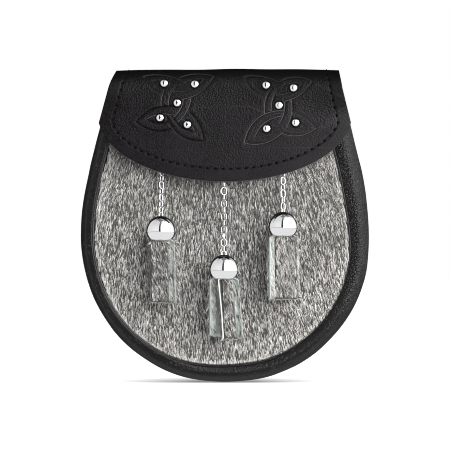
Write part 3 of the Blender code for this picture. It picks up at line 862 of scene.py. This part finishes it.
tooledLines = (  # depth and painted highlight, then x, z of both ends and the bow to the left of the way between them
    (1.0, 0.0, (
        (-58.1, 1.0, -31.3, 10.8, 4.1), (-58.1, 1.0, -36.0, -3.7, -3.0), (-51.0, 2.8, -37.7, 0.8, -1.4),
        (-38.0, 4.3, -13.9, -11.3, -5.2), (-34.2, 4.3, -19.8, -5.4, -2.4), (-13.9, -11.3, -23.0, 7.2, -2.0),
    )),
    (0.60, 1.0, (
        (-53.4, 30.8, -24.6, 25.5, 3.4), (-47.5, 28.0, -35.7, 27.8, 0.8), (-29.2, 30.2, -7.1, 30.8, 2.0),
        (-7.1, 30.8, -27.1, 15.9, 3.0), (-25.7, 27.2, -13.6, 29.1, 0.6), (-13.6, 29.1, -21.0, 22.7, 0.9),
        (-21.0, 22.7, -33.3, 20.7, 0.7), (-39.5, 21.9, -41.6, 11.3, -0.8), (-31.6, 24.3, -36.9, 11.3, -1.7),
        (-22.1, 16.1, -30.4, 1.0, 1.5), (-27.1, 15.5, -33.3, 4.3, 1.3), (-51.0, 2.8, -35.7, 5.8, 1.6),
        (-19.8, -5.4, -26.9, 2.2, -1.2), (13.0, 30.8, 35.4, 27.2, 1.9), (36.5, 27.5, 57.3, 27.7, 2.7),
        (57.3, 27.7, 39.5, 14.6, 2.5), (39.5, 25.5, 50.4, 26.0, 0.8), (50.4, 26.0, 43.6, 20.5, 0.8),
        (43.6, 20.5, 34.8, 18.6, 0.4), (30.9, 23.4, 26.3, 6.3, -2.1), (34.2, 21.4, 30.9, 8.7, -1.4),
        (43.6, 14.9, 40.7, -1.9, 1.6), (39.2, 14.0, 36.2, 0.7, 1.1), (12.7, -12.8, 38.3, 8.4, 6.7),
        (12.7, -12.8, 37.4, -6.4, -3.5), (19.7, -8.7, 37.1, 4.7, 3.2), (37.4, -6.6, 60.0, -3.0, -3.2),
    )),
    (0.32, 0.22, (
        (-53.4, 30.8, -40.4, 18.9, -1.8), (-47.5, 28.0, -41.7, 23.0, -0.7), (-35.7, 27.8, -38.7, 22.1, 1.0),
        (13.0, 30.8, 25.9, 17.2, -2.5), (18.3, 27.5, 28.9, 26.8, 0.5), (18.3, 27.5, 26.3, 20.2, -1.2),
        (44.2, 7.2, 60.0, -3.0, 1.4), (41.3, -2.0, 53.3, -2.8, -1.5), (41.3, -2.0, 53.3, -2.8, 2.2),
        (19.7, -8.7, 33.3, -5.2, -1.2),
    )),
)


relief = Sizes(  # mm deep or high, and mm wide
    line=(0.30, 0.50),
    seam=(0.16, 0.8),
    hole=(0.45, 0.9),
    swelling=(0.12, 1.6),
    beside=1.8,  # mm from a line to the middle of the swelling along it
    sway=(0.16, 38.0),
)


def mound(distance, height, width):
    # a bell curve: height * e^-(distance / width)^2
    return height * np.exp(-(distance / width) ** 2)


def arcPoints(line, step=0.25):
    # a flat arc: the chord plus bow times 4t(1 - t) to its left
    x, z, endX, endZ, bow = line
    across, up = endX - x, endZ - z
    length = math.hypot(across, up)
    t = np.linspace(0, 1, int(length / step) + 2)
    lift = 4 * bow * t * (1 - t)
    return np.stack([x + across * t - up / length * lift, z + up * t + across / length * lift], 1)


def tooling(seen):
    # distance from the nearest tooled line, the same signed by its side, and the line's depth and painted
    # highlight
    kinds, arcs = zip(*((kind[:2], arcPoints(line)) for kind in tooledLines for line in kind[2]))
    lines, heading = np.concatenate(arcs), np.concatenate([np.gradient(arc, axis=0) for arc in arcs])
    strengths = np.repeat(kinds, [len(arc) for arc in arcs], axis=0)
    place, near = nearestOn(seen, lines)
    offset = seen - lines[place]
    cross = heading[place, 0] * offset[:, 1] - heading[place, 1] * offset[:, 0]
    return near, near * np.where(cross < 0, -1, 1), strengths[place]


def seamBeside(width):
    # x and z of the seam along one straight side of the front, whose half width at the top is given
    corner = flap.endHalf * math.sin(flap.corner)
    reach = math.hypot(corner - width, flap.startZ - flap.cornerZ)
    t = np.linspace(0, 1, 40)[1:]
    across, down = corner - width, flap.cornerZ - flap.startZ
    return width + across * t + flap.seam * down / reach, flap.startZ + down * t - flap.seam * across / reach


def flapSeam():
    # the stitched line, seam mm inside the edge: over the fold, down the side, round the end, and up again
    y, z, left, right = flapFold(np.linspace(0.12, 1, 60))
    angle = np.linspace(-1, 1, 400) * flap.corner
    slope = unit(np.stack([np.sin(angle) * flap.endRise, -np.cos(angle) * flap.endHalf], 1))
    endX = flap.endHalf * np.sin(angle) - slope[:, 0] * flap.seam
    endZ = flap.low + flap.endRise * (1 - np.cos(angle)) - slope[:, 1] * flap.seam
    (leftX, leftZ), (rightX, rightZ) = seamBeside(flap.sideLeft), seamBeside(flap.sideRight)
    inner = (-endX < np.interp(endZ, leftZ[::-1], leftX[::-1]) - 0.5) & (
        endX < np.interp(endZ, rightZ[::-1], rightX[::-1]) - 0.5)
    leftKeep = leftZ > np.interp(leftX, endX[200:], endZ[200:]) + 0.5
    rightKeep = rightZ > np.interp(rightX, endX[200:], endZ[200:]) + 0.5
    frontX = np.r_[-leftX[leftKeep], endX[inner], rightX[rightKeep][::-1]]
    frontZ = np.r_[leftZ[leftKeep], endZ[inner], rightZ[rightKeep][::-1]]
    x = np.r_[-left + flap.seam, frontX, (right - flap.seam)[::-1]]
    z = np.r_[z, frontZ, z[::-1]]
    y = np.r_[y, flapY(frontX, frontZ), y[::-1]]
    return evenly(smoothCurve(np.stack([x, y, z - foldBow(x, z)], 1)[::3], 1500), 1500)


def denser(count, start, end, weight):
    # places from 0 to 1, packed closer between start and end
    t = np.linspace(0, 1, 4001)
    run = np.cumsum(np.where((t > start) & (t < end), weight, 1.0))
    return np.interp(np.linspace(run[0], run[-1], count), run, t)


def stitchPoints(path, pitch):
    # even places along a path, as near to the pitch as a whole number of steps allows
    count = round(np.linalg.norm(np.diff(path, axis=0), axis=1).sum() / pitch)
    return evenly(path, count + 1)


def stitches(middles, outward, length):
    # a short thread at each middle, along the seam: it rises by a sine and dives in at both ends
    radius, rise, sink = 0.48, 0.02, 0.8
    t = np.linspace(0, 1, 7)
    height = (rise + sink) * np.sin(math.pi * t) ** 0.55 - sink
    along = unit(np.gradient(middles, axis=0))
    parts = []
    for middle, ahead, out in zip(middles, along, outward):
        path = middle + ahead * (length * (t - 0.5))[:, None] + out * height[:, None]
        parts.append(tube(path, radius * (0.72 + 0.28 * np.sin(math.pi * t)), 7, up=out))
    return merged(parts)


def makeFlap():
    # the grids of the fold and the front, pressed in by the relief; the mesh carries what its finish reads
    u = denser(flap.columns, 0.03, 0.97, 2.0)
    y, z, left, right = (a[:, None] for a in flapFold(denser(flap.foldRows + 1, 0.62, 1, 4.0)[:-1]))
    foldX = -left + (left + right) * u[None, :]
    fold = np.stack([foldX, np.broadcast_to(y, foldX.shape), z - foldBow(foldX, z)], -1)
    grid = np.concatenate([fold, flapFront(u[None, :], denser(flap.frontRows, 0, 0.92, 1.9)[:, None])])
    normal = -gridNormals(grid).reshape(-1, 3)
    flat = grid.reshape(-1, 3)

    facing = (flat[:, 1] < flap.frontBendY - 5) & (flat[:, 2] > -16)
    tool, toolSide, strength = np.full(len(flat), 9.0), np.full(len(flat), 9.0), np.zeros((len(flat), 2))
    tool[facing], toolSide[facing], strength[facing] = tooling(flat[facing][:, [0, 2]])

    seamPath = flapSeam()
    holes = stitchPoints(seamPath, flap.pitch)
    seam, hole = nearestOn(flat, seamPath[::2])[1], nearestOn(flat, holes)[1]
    border = np.concatenate([grid[:, 0], grid[-1, 1:-1], grid[::-1, -1]])
    band = smoothStep((flap.seam + 0.8 - nearestOn(flat, border)[1]) / 1.6)
    band = np.maximum(band, 0.9 * smoothStep((flat[:, 2] - 26) / 8))  # the fold is stretched smooth too
    hole = np.sqrt(hole ** 2 + 2.0 * np.minimum(seam, 3.0) ** 2)  # longer along the seam than across
    # lines, the seam's groove and its holes sink, and the leather swells beside a line
    deep, wide = relief.line
    sink = mound(tool, deep * strength[:, 0], wide) + mound(seam, *relief.seam) + mound(hole, *relief.hole)
    high, broad = relief.swelling
    puff = mound(tool - relief.beside, high * strength[:, 0] * smoothStep((tool - wide) / 1.2), broad)
    sway = relief.sway[0] * waves(flat[:, 0], flat[:, 2] + flat[:, 1], relief.sway[1], 8)
    points = flat + normal * (puff - sink + sway)[:, None]
    # painted shade: the leather is painted dark and pressed in a little close round each stud, as at a hole's
    # rim
    fromStud = nearestOn(flat[:, [0, 2]], np.array(list(studs.places.values())))[1] - studs.dome[-1][0]
    hole = np.where(facing, np.minimum(hole, np.maximum(fromStud, 0.0) * 0.9 + 0.3), hole)
    piece = makePiece("tooledFlap", (points, sheet(grid)[1]), [flapLeather, edgePaint], "flap")
    # the mesh also carries where lines have their painted highlight and how much painted shade lies on the
    # fold's top
    for label, values in (("toolLine", np.minimum(tool, 2.0)), ("toolSide", np.clip(toolSide, -2.0, 2.0)),
                          ("toolDepth", strength[:, 0]), ("toolShine", strength[:, 1]),
                          ("stitchHole", np.minimum(hole, 2.0)), ("bandShare", band),
                          ("foldShare", 0.93 * smoothStep((flat[:, 2] - 8) / 17))):
        addNumbers(piece, label, values)
    addWall(piece, flap.thick, 1, 0.35)
    outward = normal[nearestOn(holes, flat)[0]]
    makePiece("flapStitches", stitches(holes, outward, flap.stitch), [threadAndPaintedShadow])


makeFlap()
print("stage: flap")


# Metal: studs, chains, bells, rivets and the hidden snap

def frameAlong(axis, start, turn=0.0):
    # origin, x, y and axis of a turned piece, its x kept level
    axis = unit(np.asarray(axis, float))
    side = unit(np.cross([0.0, -1.0, 0.0] if abs(axis[1]) < 0.9 else [0.0, 0.0, 1.0], axis))
    rise = np.cross(axis, side)
    c, s = math.cos(math.radians(turn)), math.sin(math.radians(turn))
    return np.asarray(start, float), side * c + rise * s, rise * c - side * s, axis


def makeStuds():
    # a low dome with a rolled edge, its foot let into the leather, turned about the leather's normal
    dome = smoothCurve(studs.dome, 18)
    dome[0, 0] = 0.0
    profile = np.vstack([dome, [[2.55, -0.2], [1.8, -0.4], [0.0, -0.4]]])
    for name, (x, z) in studs.places.items():
        here, right, rise = onFlap(x, z), onFlap(x + 0.5, z), onFlap(x, z + 0.5)
        axis = unit(np.cross(right - here, rise - here))
        turned = lathe(profile, 36, frameAlong(axis, here + axis * 0.1))
        makePiece("domedStud_" + name, turned, [chrome], "stud_" + name)


drops = {
    "left": Sizes(low=(-42.0, -49.2, -75.9), anchor=(-41.2, -39.6, -17.0), links=10, twist=45),
    "centre": Sizes(low=(-0.7, -49.4, -101.2), anchor=(-0.5, -39.7, -20.0), links=15, twist=90),
    "right": Sizes(low=(38.0, -49.2, -73.2), anchor=(38.1, -39.6, -18.0), links=9, twist=30),
}
link = Sizes(length=5.55, width=3.9, wire=0.66, pitch=4.24, sway=14)  # sway: degrees of chance turn
bell = Sizes(
    height=15.0,
    eye=1.2,
    ring=(1.5, 0.4),  # radius of an eye and of its wire
    level=4.5,  # height of the part above the mouth that is drawn level
    outside=((0.0, 15.2), (2.8, 14.85), (5.4, 13.5), (7.6, 11.0), (8.9, 8.2), (9.4, 5.6), (9.2, 3.4),
             (8.1, 1.1), (6.9, -0.2), (5.9, -0.8)),
    inside=((5.5, -0.7), (5.7, -0.2), (7.5, 1.6), (8.6, 4.6), (7.8, 8.6), (4.6, 12.4), (0.0, 13.7)),
)


def makeDropMetal(name, drop):
    # chain, bell and rivet of one drop, along the line from the bell's mouth to the rivet's eye
    low = np.array(drop.low)
    along = unit(np.array(drop.anchor) - low)
    bellEye = low + along * (bell.height + bell.eye)
    first = 0.45 + (link.length - link.wire) / 2
    anchorEye = bellEye + along * (2 * first + (drop.links - 1) * link.pitch)
    t = np.linspace(0, math.tau, 32, endpoint=False)

    def eye(at, turn):
        centre, side, rise, axis = frameAlong(along, at, drop.twist + turn)
        ring = centre + bell.ring[0] * (np.cos(t)[:, None] * side + np.sin(t)[:, None] * axis)
        return tube(ring, bell.ring[1], 10, True, up=rise)

    # a link: two half circles drawn apart along the chain, each link turned a quarter from the last
    r = (link.width - link.wire) / 2
    stretch = np.where(np.sin(t) >= 0, 1, -1) * (link.length - link.width) / 2
    parts = []
    turns = np.random.default_rng(drop.links).uniform(-link.sway, link.sway, drop.links)
    for i in range(drop.links):
        centre, side, rise, axis = frameAlong(along, bellEye + along * (first + i * link.pitch),
                                              drop.twist + 90 * (i % 2) + turns[i])
        path = centre + (r * np.cos(t))[:, None] * side + (r * np.sin(t) + stretch)[:, None] * axis
        parts.append(tube(path, link.wire / 2, 10, True, up=rise))
    makePiece("cableChain_" + name, merged(parts), [chainChrome], "chain_" + name, False)

    outside = smoothCurve(bell.outside, 40)
    inside = smoothCurve(bell.inside, 26)
    outside[0, 0] = inside[-1, 0] = 0.0
    cup, cupFaces = lathe(np.vstack([outside, inside]), 72, frameAlong(along, low))
    rim = smoothStep((bell.level - (cup - low) @ along) / bell.level)  # the bell leans; its mouth is level
    cup[:, 2] -= rim * (low[1] - cup[:, 1]) * along[1] / along[2]
    belled = merged([(cup, cupFaces), eye(bellEye, 90)])
    makePiece("domedBell_" + name, belled, [chrome], "bell_" + name, False)

    head = anchorEye + along * 2.3
    back = float(frontY(head[0], head[2])) - 0.3
    reach = back - head[1]
    profile = np.array([(0.0, reach + 0.4), (1.3, reach + 0.35), (1.5, reach), (1.5, 1.0), (2.1, 0.8),
                        (2.2, 0.5), (2.2, 0.0), (0.0, 0.0)])
    rivet = lathe(profile, 24, frameAlong((0, -1, 0), (head[0], back, head[2])))
    riveted = merged([rivet, eye(anchorEye, 90 * (drop.links % 2))])
    makePiece("hiddenRivet_" + name, riveted, [chrome], "chain_anchor_" + name)


makeStuds()
for dropName, dropSizes in drops.items():
    makeDropMetal(dropName, dropSizes)
frame["nodes"]["flap_snap"].material_slots[0].material = chrome
print("stage: metal")


# Tassels: strips of the same hide, hair on one face and pale skin on the other

tassels = {  # strips: offset across and forward, turn of the hair side from the front, width, length, lean
    "left": (
        (-2.0, 3.9, -5, 9.8, 41.2, 0.7), (4.6, 2.6, 12, 6.6, 41.4, 0.9), (7.0, 3.9, 160, 5.0, 40.6, 0.9),
        (8.6, -0.6, 32, 5.6, 41.4, 1.4), (-6.0, 0.6, -70, 5.6, 40.0, 0.3), (-3.6, -4.0, 188, 8.6, 41.0, 1.0),
        (4.4, -3.6, 172, 8.6, 41.0, 1.5),
    ),
    "centre": (
        (-7.2, 2.6, -162, 5.0, 37.2, -0.1), (-3.9, 3.6, -98, 7.0, 40.4, 3.9), (2.6, 2.8, 6, 8.6, 39.6, 2.0),
        (7.2, 3.4, 160, 4.8, 38.8, 3.6), (0.0, -0.5, -12, 7.0, 39.0, 1.4), (-4.0, -3.9, 188, 8.2, 38.0, 0.8),
        (4.6, -3.6, 172, 8.2, 39.6, 2.4),
    ),
    "right": (
        (1.6, 4.2, -4, 14.6, 41.7, 0.6), (-7.4, 4.0, -146, 5.0, 41.6, 0.2), (8.0, 0.8, 66, 6.0, 41.2, 1.6),
        (-7.2, -0.8, -86, 5.4, 41.0, 0.2), (-3.8, -4.0, 188, 8.6, 41.0, 0.6),
        (4.6, -3.6, 172, 8.6, 41.0, 1.6),
    ),
}
strip = Sizes(
    top=3.5,  # mm inside the bell
    gather=0.62,  # share of a strip's offset, and of its width, at the head
    neck=0.60,
    curl=0.7,
    forward=1.5,  # mm that the strips swing forward, and that their ends turn up
    turned=1.5,
    thick=0.9,
    columns=15,
    rows=56,
    hairs=4,  # in a lock
    stray=0.28,  # share of hair that has strayed over the skin side
    untidy=(17, 8, 4),  # degrees that hair leans aside: on average, varying from lock to lock, and in a lock
    speckle=(0.34, 0.26),  # how much the tone varies from lock to lock, and in a lock
    length=(3.2, 5.6),
    width=(0.20, 0.36),
    lift=(0.3, 1.1),
    tone={"left": 0.28, "centre": 0.32, "right": 0.45},
)


def stripGrid(low, sizes, curled):
    # u across and v down: offset grows from the gather and width from the neck, with a shallow curl across
    # and the cut end turned up a little towards the hair
    across, forward, turn, width, length, lean = sizes
    u = np.linspace(-0.5, 0.5, strip.columns)[None, :, None]
    v = np.linspace(0, 1, strip.rows)[:, None, None]
    angle = math.radians(turn)
    facing = np.array([math.sin(angle), -math.cos(angle), 0.0])
    sidewise = np.array([math.cos(angle), math.sin(angle), 0.0])
    offset, ahead = np.array([across, 0.0, 0.0]), np.array([0.0, -forward, 0.0])
    hang = np.array([lean, strip.forward, -length - strip.top])
    spread = strip.gather + (1 - strip.gather) * smoothStep((v - 0.06) / 0.055)
    wide = width * (strip.neck + (1 - strip.neck) * smoothStep((v - 0.06) / 0.06))
    curl = curled * np.cos(math.pi * u) + 0.35 * np.sin(v * 5.0 + across) * v
    curl = curl + strip.turned * np.clip((v - 0.95) / 0.05, 0, 1) ** 2
    top = np.array(low) + np.array([0.0, 0.0, strip.top])
    return top + offset * spread + ahead * (0.8 + 0.2 * v) + sidewise * wide * u + facing * curl + hang * v


def makeTassel(name, drop, seed):
    # the strips as one mesh, and their hair, which roots at random places of each strip's grid
    draw = np.random.default_rng(seed)
    hairs, lastRow, lastColumn = strip.hairs, strip.rows - 1, strip.columns - 1
    (aside, between, within), (speckled, flecked) = strip.untidy, strip.speckle
    parts, hair = [], []
    for number, sizes in enumerate(tassels[name]):
        # the first strip of the outer two, with hair to the front, is curled towards its hair
        curled = -0.5 if number == 0 and name != "centre" else strip.curl
        grid = stripGrid(drop.low, sizes, curled)
        grid[-1, :, 2] += 0.35 * waves(np.arange(strip.columns) * 1.3, 0.0, 4.0, seed)  # a ragged cut
        normal = -gridNormals(grid)
        parts.append(sheet(grid))
        # hair on the coat's side, and some over the skin side of the strips turned to it
        sides = ((1, 1.0), (-1, strip.stray)) if abs(sizes[2]) > 120 and sizes[1] > 0 else ((1, 1.0), )
        for side, share in sides:
            locks = int(sizes[3] * (sizes[4] + strip.top) * share)
            su = draw.uniform(0.03, 0.94, locks).repeat(hairs)
            sv = draw.uniform(0.06, 0.95, locks).repeat(hairs)
            su = np.clip(su + draw.uniform(-0.28, 0.28, len(su)) / sizes[3], 0.02, 0.96)
            sv = np.clip(sv + draw.uniform(-0.02, 0.02, len(su)), 0.05, 0.955)
            i, j = (sv * lastRow).round().astype(int), (su * lastColumn).round().astype(int)
            stepU, stepV = np.gradient(grid, axis=1)[i, j], np.gradient(grid, axis=0)[i, j]
            root = grid[i, j] + stepU * (su * lastColumn - j)[:, None] + stepV * (sv * lastRow - i)[:, None]
            root = root - normal[i, j] * (strip.thick * (side < 0))
            tone = (strip.tone[name] + speckled * draw.standard_normal(locks)).repeat(hairs)
            tone = tone + flecked * draw.standard_normal(len(su)) + 0.12 * (side < 0)
            lean = (aside + between * draw.standard_normal(locks)).repeat(hairs)
            lean = lean + within * draw.standard_normal(len(su))
            hair.append((root, side * normal[i, j], unit(stepV), side * unit(stepU), sv, tone, lean))
    # face, inner side and cut edge of most strips, and then of the one whose cut edge has a painted highlight
    finishes = [skinUnder, paleHide, cutHide, skinUnder, paleHide, highlightedCut]
    piece = makePiece("hideStrips_" + name, merged(parts), finishes, "tassel_" + name, False)
    # the strip whose cut edge is painted paler as a highlight
    bright = np.repeat(np.arange(len(parts)) == (1 if name == "centre" else -1), len(parts[0][1]))
    piece.data.polygons.foreach_set("material_index", np.where(bright, 3, 0).astype(np.int32))
    addWall(piece, strip.thick, 2)
    piece.modifiers["Wall"].material_offset = 1
    root, normal, down, across, sv, tone, lean = (np.concatenate(column) for column in zip(*hair))
    count = len(root)
    lean = np.radians(lean)[:, None]
    flow = unit(down * np.cos(lean) + across * np.sin(lean))
    length = draw.uniform(*strip.length, count) * np.clip((1.0 - sv) / 0.11, 0.25, 1.0)
    lift = draw.uniform(*strip.lift, count) * smoothStep((sv - 0.02) / 0.12)
    blades("tasselHair_" + name, root, normal, flow, length, draw.uniform(*strip.width, count), lift, tone,
           draw.uniform(-0.6, 0.6, count), steps=(0.0, 0.5, 1.0))
    print("  hairs on the", name, "tassel:", count)


for number, (dropName, dropSizes) in enumerate(drops.items()):
    makeTassel(dropName, dropSizes, 40 + number)
print("stage: tassels")


# Back: panel, belt loops and their seams

back = Sizes(inset=4.2, top=25.5, thick=2.4, seam=3.4, pitch=4.4, stitch=2.8)
loops = Sizes(x=45.0, width=20.0, thick=2.2, feet=(16.8, -17.6),
              path=((18.8, 2.6), (14.8, 2.6), (12.2, 7.8), (-12.2, 7.8), (-14.8, 2.6), (-21.0, 2.6)))


def makeBack():
    # each row runs from side to side of the outline drawn in by the inset, at its own height
    count = 70
    edgeX, _, edgeZ = outline(np.linspace(runTo(back.top), 0.0, 900), 0.0, back.inset).T
    rowZ = back.top + (edgeZ[-1] + 0.02 - back.top) * np.sin(np.linspace(0, 1, count) * math.pi / 2)
    across = np.sin(np.linspace(1, -1, count) * math.pi / 2)
    gx = np.interp(rowZ, edgeZ[::-1], edgeX[::-1])[:, None] * across[None, :]
    grid = np.stack([gx, np.zeros_like(gx), np.broadcast_to(rowZ[:, None], gx.shape)], -1)
    addWall(makePiece("flatBack", sheet(grid), [backLeather, edgePaint], "back_panel", False),
            back.thick, 1)


def makeBackStitches():
    # seams along the panel's edge, across the lap, and at both feet of each loop
    end = runTo(back.top - 4)
    edge = outline(np.linspace(-end, end, 1200), 0.05, back.inset + back.seam)
    lapX = np.linspace(-68, 68, 60)
    lap = np.stack([lapX, np.full_like(lapX, flap.lapY + 0.05), np.full_like(lapX, flap.lapZ + 2.0)], 1)
    seams = [(edge, back.pitch, back.stitch), (lap, back.pitch, back.stitch)]
    for side in (-1, 1):
        for z in loops.feet:
            seams.append((np.array([(side * loops.x + dx, 2.65, z) for dx in (-8.0, 8.0)]), 3.2, 2.2))
    parts = []
    for path, pitch, length in seams:
        holes = stitchPoints(path, pitch)
        parts.append(stitches(holes, np.broadcast_to([0.0, 1.0, 0.0], holes.shape), length))
    makePiece("backStitches", merged(parts), [threadAndPaintedShadow])


def makeLoops():
    # a strip carried along a path whose bends are short curves
    path = np.array(loops.path)
    rounded = []
    for a, b, c in zip(path[:-2], path[1:-1], path[2:]):
        before, after = b + unit(a - b) * 1.6, b + unit(c - b) * 1.6
        t = np.linspace(0, 1, 7)[:, None]
        rounded.append((1 - t) ** 2 * before + 2 * t * (1 - t) * b + t ** 2 * after)
    section = evenly(np.vstack([path[:1], *rounded, path[-1:]]), 70)
    for name, side in (("left", -1), ("right", 1)):
        x = np.broadcast_to(np.linspace(0.5, -0.5, 24) * loops.width + side * loops.x, (70, 24))
        grid = np.stack([x, *(np.broadcast_to(section[:, k:k + 1], x.shape) for k in (1, 0))], -1)
        addWall(makePiece("beltBridge_" + name, sheet(grid), [backLeather, edgePaint],
                          "belt_loop_" + name), loops.thick, 1, 0.3)


makeBack()
makeBackStitches()
makeLoops()
print("stage: back")


# Floor, studio and camera

studio = Sizes(
    pixel=0.65972,  # mm at the pouch for one pixel of the 450 x 450 picture
    distance=3500.0,
    centre=(0.1, -15.5, -66.6),
    right=(3.9, 10.4, 0.9),  # brightness of the right soft box near the camera, to the side and far round
    left=(0.92, 0.80),
    raised=(0.80, 0.10),  # what is left of the left and right box's brightness at its upper end
    overhead=0.20,
    behind=0.02,
    below=0.84,
    edges=(-132.0, 142.0),  # how far round the soft boxes reach, in degrees from the camera's side
    slit=(-14.0, 2.0),
    high=76.0,
    low=-5.0,
    glow=(0.15, 0.90),  # the floor's painted glow near the pouch, where it is dimmed as a painted shadow, and away from it
    shadow=(20.0, 74.0),  # mm from the middle where that glow starts to rise out of the painted shadow, and where it is full
    rear=12.0,  # watts of the fill behind
)


def makeWorld():
    # brightness by direction: soft boxes left and right, a dark slit between them, grey overhead, dark behind
    world = bpy.data.worlds.new("studio")
    bpy.context.scene.world = world
    n = Nodes(world)
    n.tree.nodes.clear()
    ways = n("SeparateXYZ", {"Vector": n("TexCoord", {}, "Generated")}, None).outputs
    azimuth = n.math("ARCTAN2", ways["X"], n.times(ways["Y"], -1.0))
    height = n.math("ARCSINE", ways["Z"])

    def between(value, start, end):
        # 0 at the start angle, 1 at the end angle, smooth between
        flip = start > end
        return n.smooth(value, math.radians(min(start, end)), math.radians(max(start, end)), float(flip),
                        float(not flip))

    leftEdge, rightEdge = studio.edges
    slitLeft, slitRight = studio.slit
    low, high = studio.low, studio.high
    nearLevel, sideLevel, farLevel = studio.right
    withinLeft = between(azimuth, leftEdge - 4, leftEdge + 4)
    withinRight = between(azimuth, rightEdge + 4, rightEdge - 4)
    right = n.times(between(azimuth, slitRight - 1, slitRight + 1), withinRight)
    left = n.times(between(azimuth, slitLeft + 1, slitLeft - 1), withinLeft)
    tall = n.times(between(height, low - 2, low + 1), between(height, high + 3, high - 3))
    leftShare, rightShare = (n.mixed(between(height, 22, 66), 1.0, share) for share in studio.raised)
    aside = n.mixed(between(azimuth, 6, 36), nearLevel, sideLevel)
    rightLevel = n.mixed(between(azimuth, 60, 128), aside, farLevel)
    leftLevel = n.mixed(between(azimuth, -30, -110), *studio.left)
    boxes = n.times(tall, n.math("ADD", n.times(n.times(right, rightShare), rightLevel),
                                 n.times(n.times(left, leftShare), leftLevel)))
    over = n.times(between(height, 54, 62), studio.overhead)
    table = n.larger(n.times(withinLeft, withinRight), n.times(between(height, -18, -32), 0.5))
    under = n.times(n.times(between(height, low - 1, low - 3), table), studio.below)
    level = n.larger(n.larger(boxes, over), n.larger(under, studio.behind))
    lit, plain = (n("Background", {"Strength": strength, "Color": (1, 1, 1, 1)}, "Background")
                  for strength in (level, 1.0))
    mix = n("MixShader", {0: n("LightPath", {}, "Is Camera Ray"), 1: lit, 2: plain}, "Shader")
    n("OutputWorld", {"Surface": mix}, None)
    world.cycles.sampling_method = "MANUAL"
    world.cycles.sample_map_resolution = 1024


def makeFloor():
    # a pale table top just under the pouch that glows, white enough to run into the background, its glow
    # dimmed round the pouch as a painted shadow
    n = Finish("pale floor", (0.20, 0.20, 0.20), Roughness=0.7, Specular_IOR_Level=0.1)
    n.inputs["Emission Color"].default_value = (1, 1, 1, 1)
    place = n("SeparateXYZ", {"Vector": n.place()}, None).outputs
    back = n.larger(n.times(place["Y"], 0.6), n.scaled(place["Y"], -3.0, -20 * mm))
    reach = n.math("SQRT", n.math("ADD", n.times(place["X"], place["X"]), n.times(back, back)))
    # painted shadow: the glow is dim close behind and beside the pouch and full away from it
    (near, far), (dim, full) = studio.shadow, studio.glow
    n.use("Emission Strength", n.ranged(reach, near * mm, far * mm, dim, full))
    mesh = bpy.data.meshes.new("floor")
    mesh.from_pydata([(x, y, -0.1704) for x, y in ((-6, -6), (6, -6), (6, 6), (-6, 6))], [], [(0, 1, 2, 3)])
    mesh.materials.append(n.material)
    floor = addObject("floor", mesh)
    floor.visible_glossy = False  # polished things mirror the studio's own pale table instead


def makeRearFill():
    # a wide lamp behind and above, for the matt back only
    lamp = bpy.data.lights.new("rear fill", "AREA")
    lamp.energy = studio.rear
    lamp.size = 1.4
    fill = addObject("rear fill", lamp)
    fill.location = (0.25, 1.3, 0.5)
    fill.rotation_euler = (math.radians(-68), 0, math.radians(-11))
    fill.visible_glossy = False


def makeCamera():
    # straight in front, long enough a lens that depth hardly changes the size
    cameraData = bpy.data.cameras.new("camera")
    camera = addObject("camera", cameraData)
    x, y, z = studio.centre
    camera.location = (x * mm, (y - studio.distance) * mm, z * mm)
    camera.rotation_euler = (math.pi / 2, 0, 0)
    cameraData.sensor_width = 36.0
    cameraData.lens = 36.0 * studio.distance / (450 * studio.pixel)
    cameraData.clip_end = 50
    bpy.context.scene.camera = camera


makeWorld()
makeFloor()
makeRearFill()
makeCamera()
bpy.context.scene.view_settings.view_transform = "Standard"
bpy.context.scene.cycles.filter_width = 1.0  # as crisp as the picture
print("stage: studio")
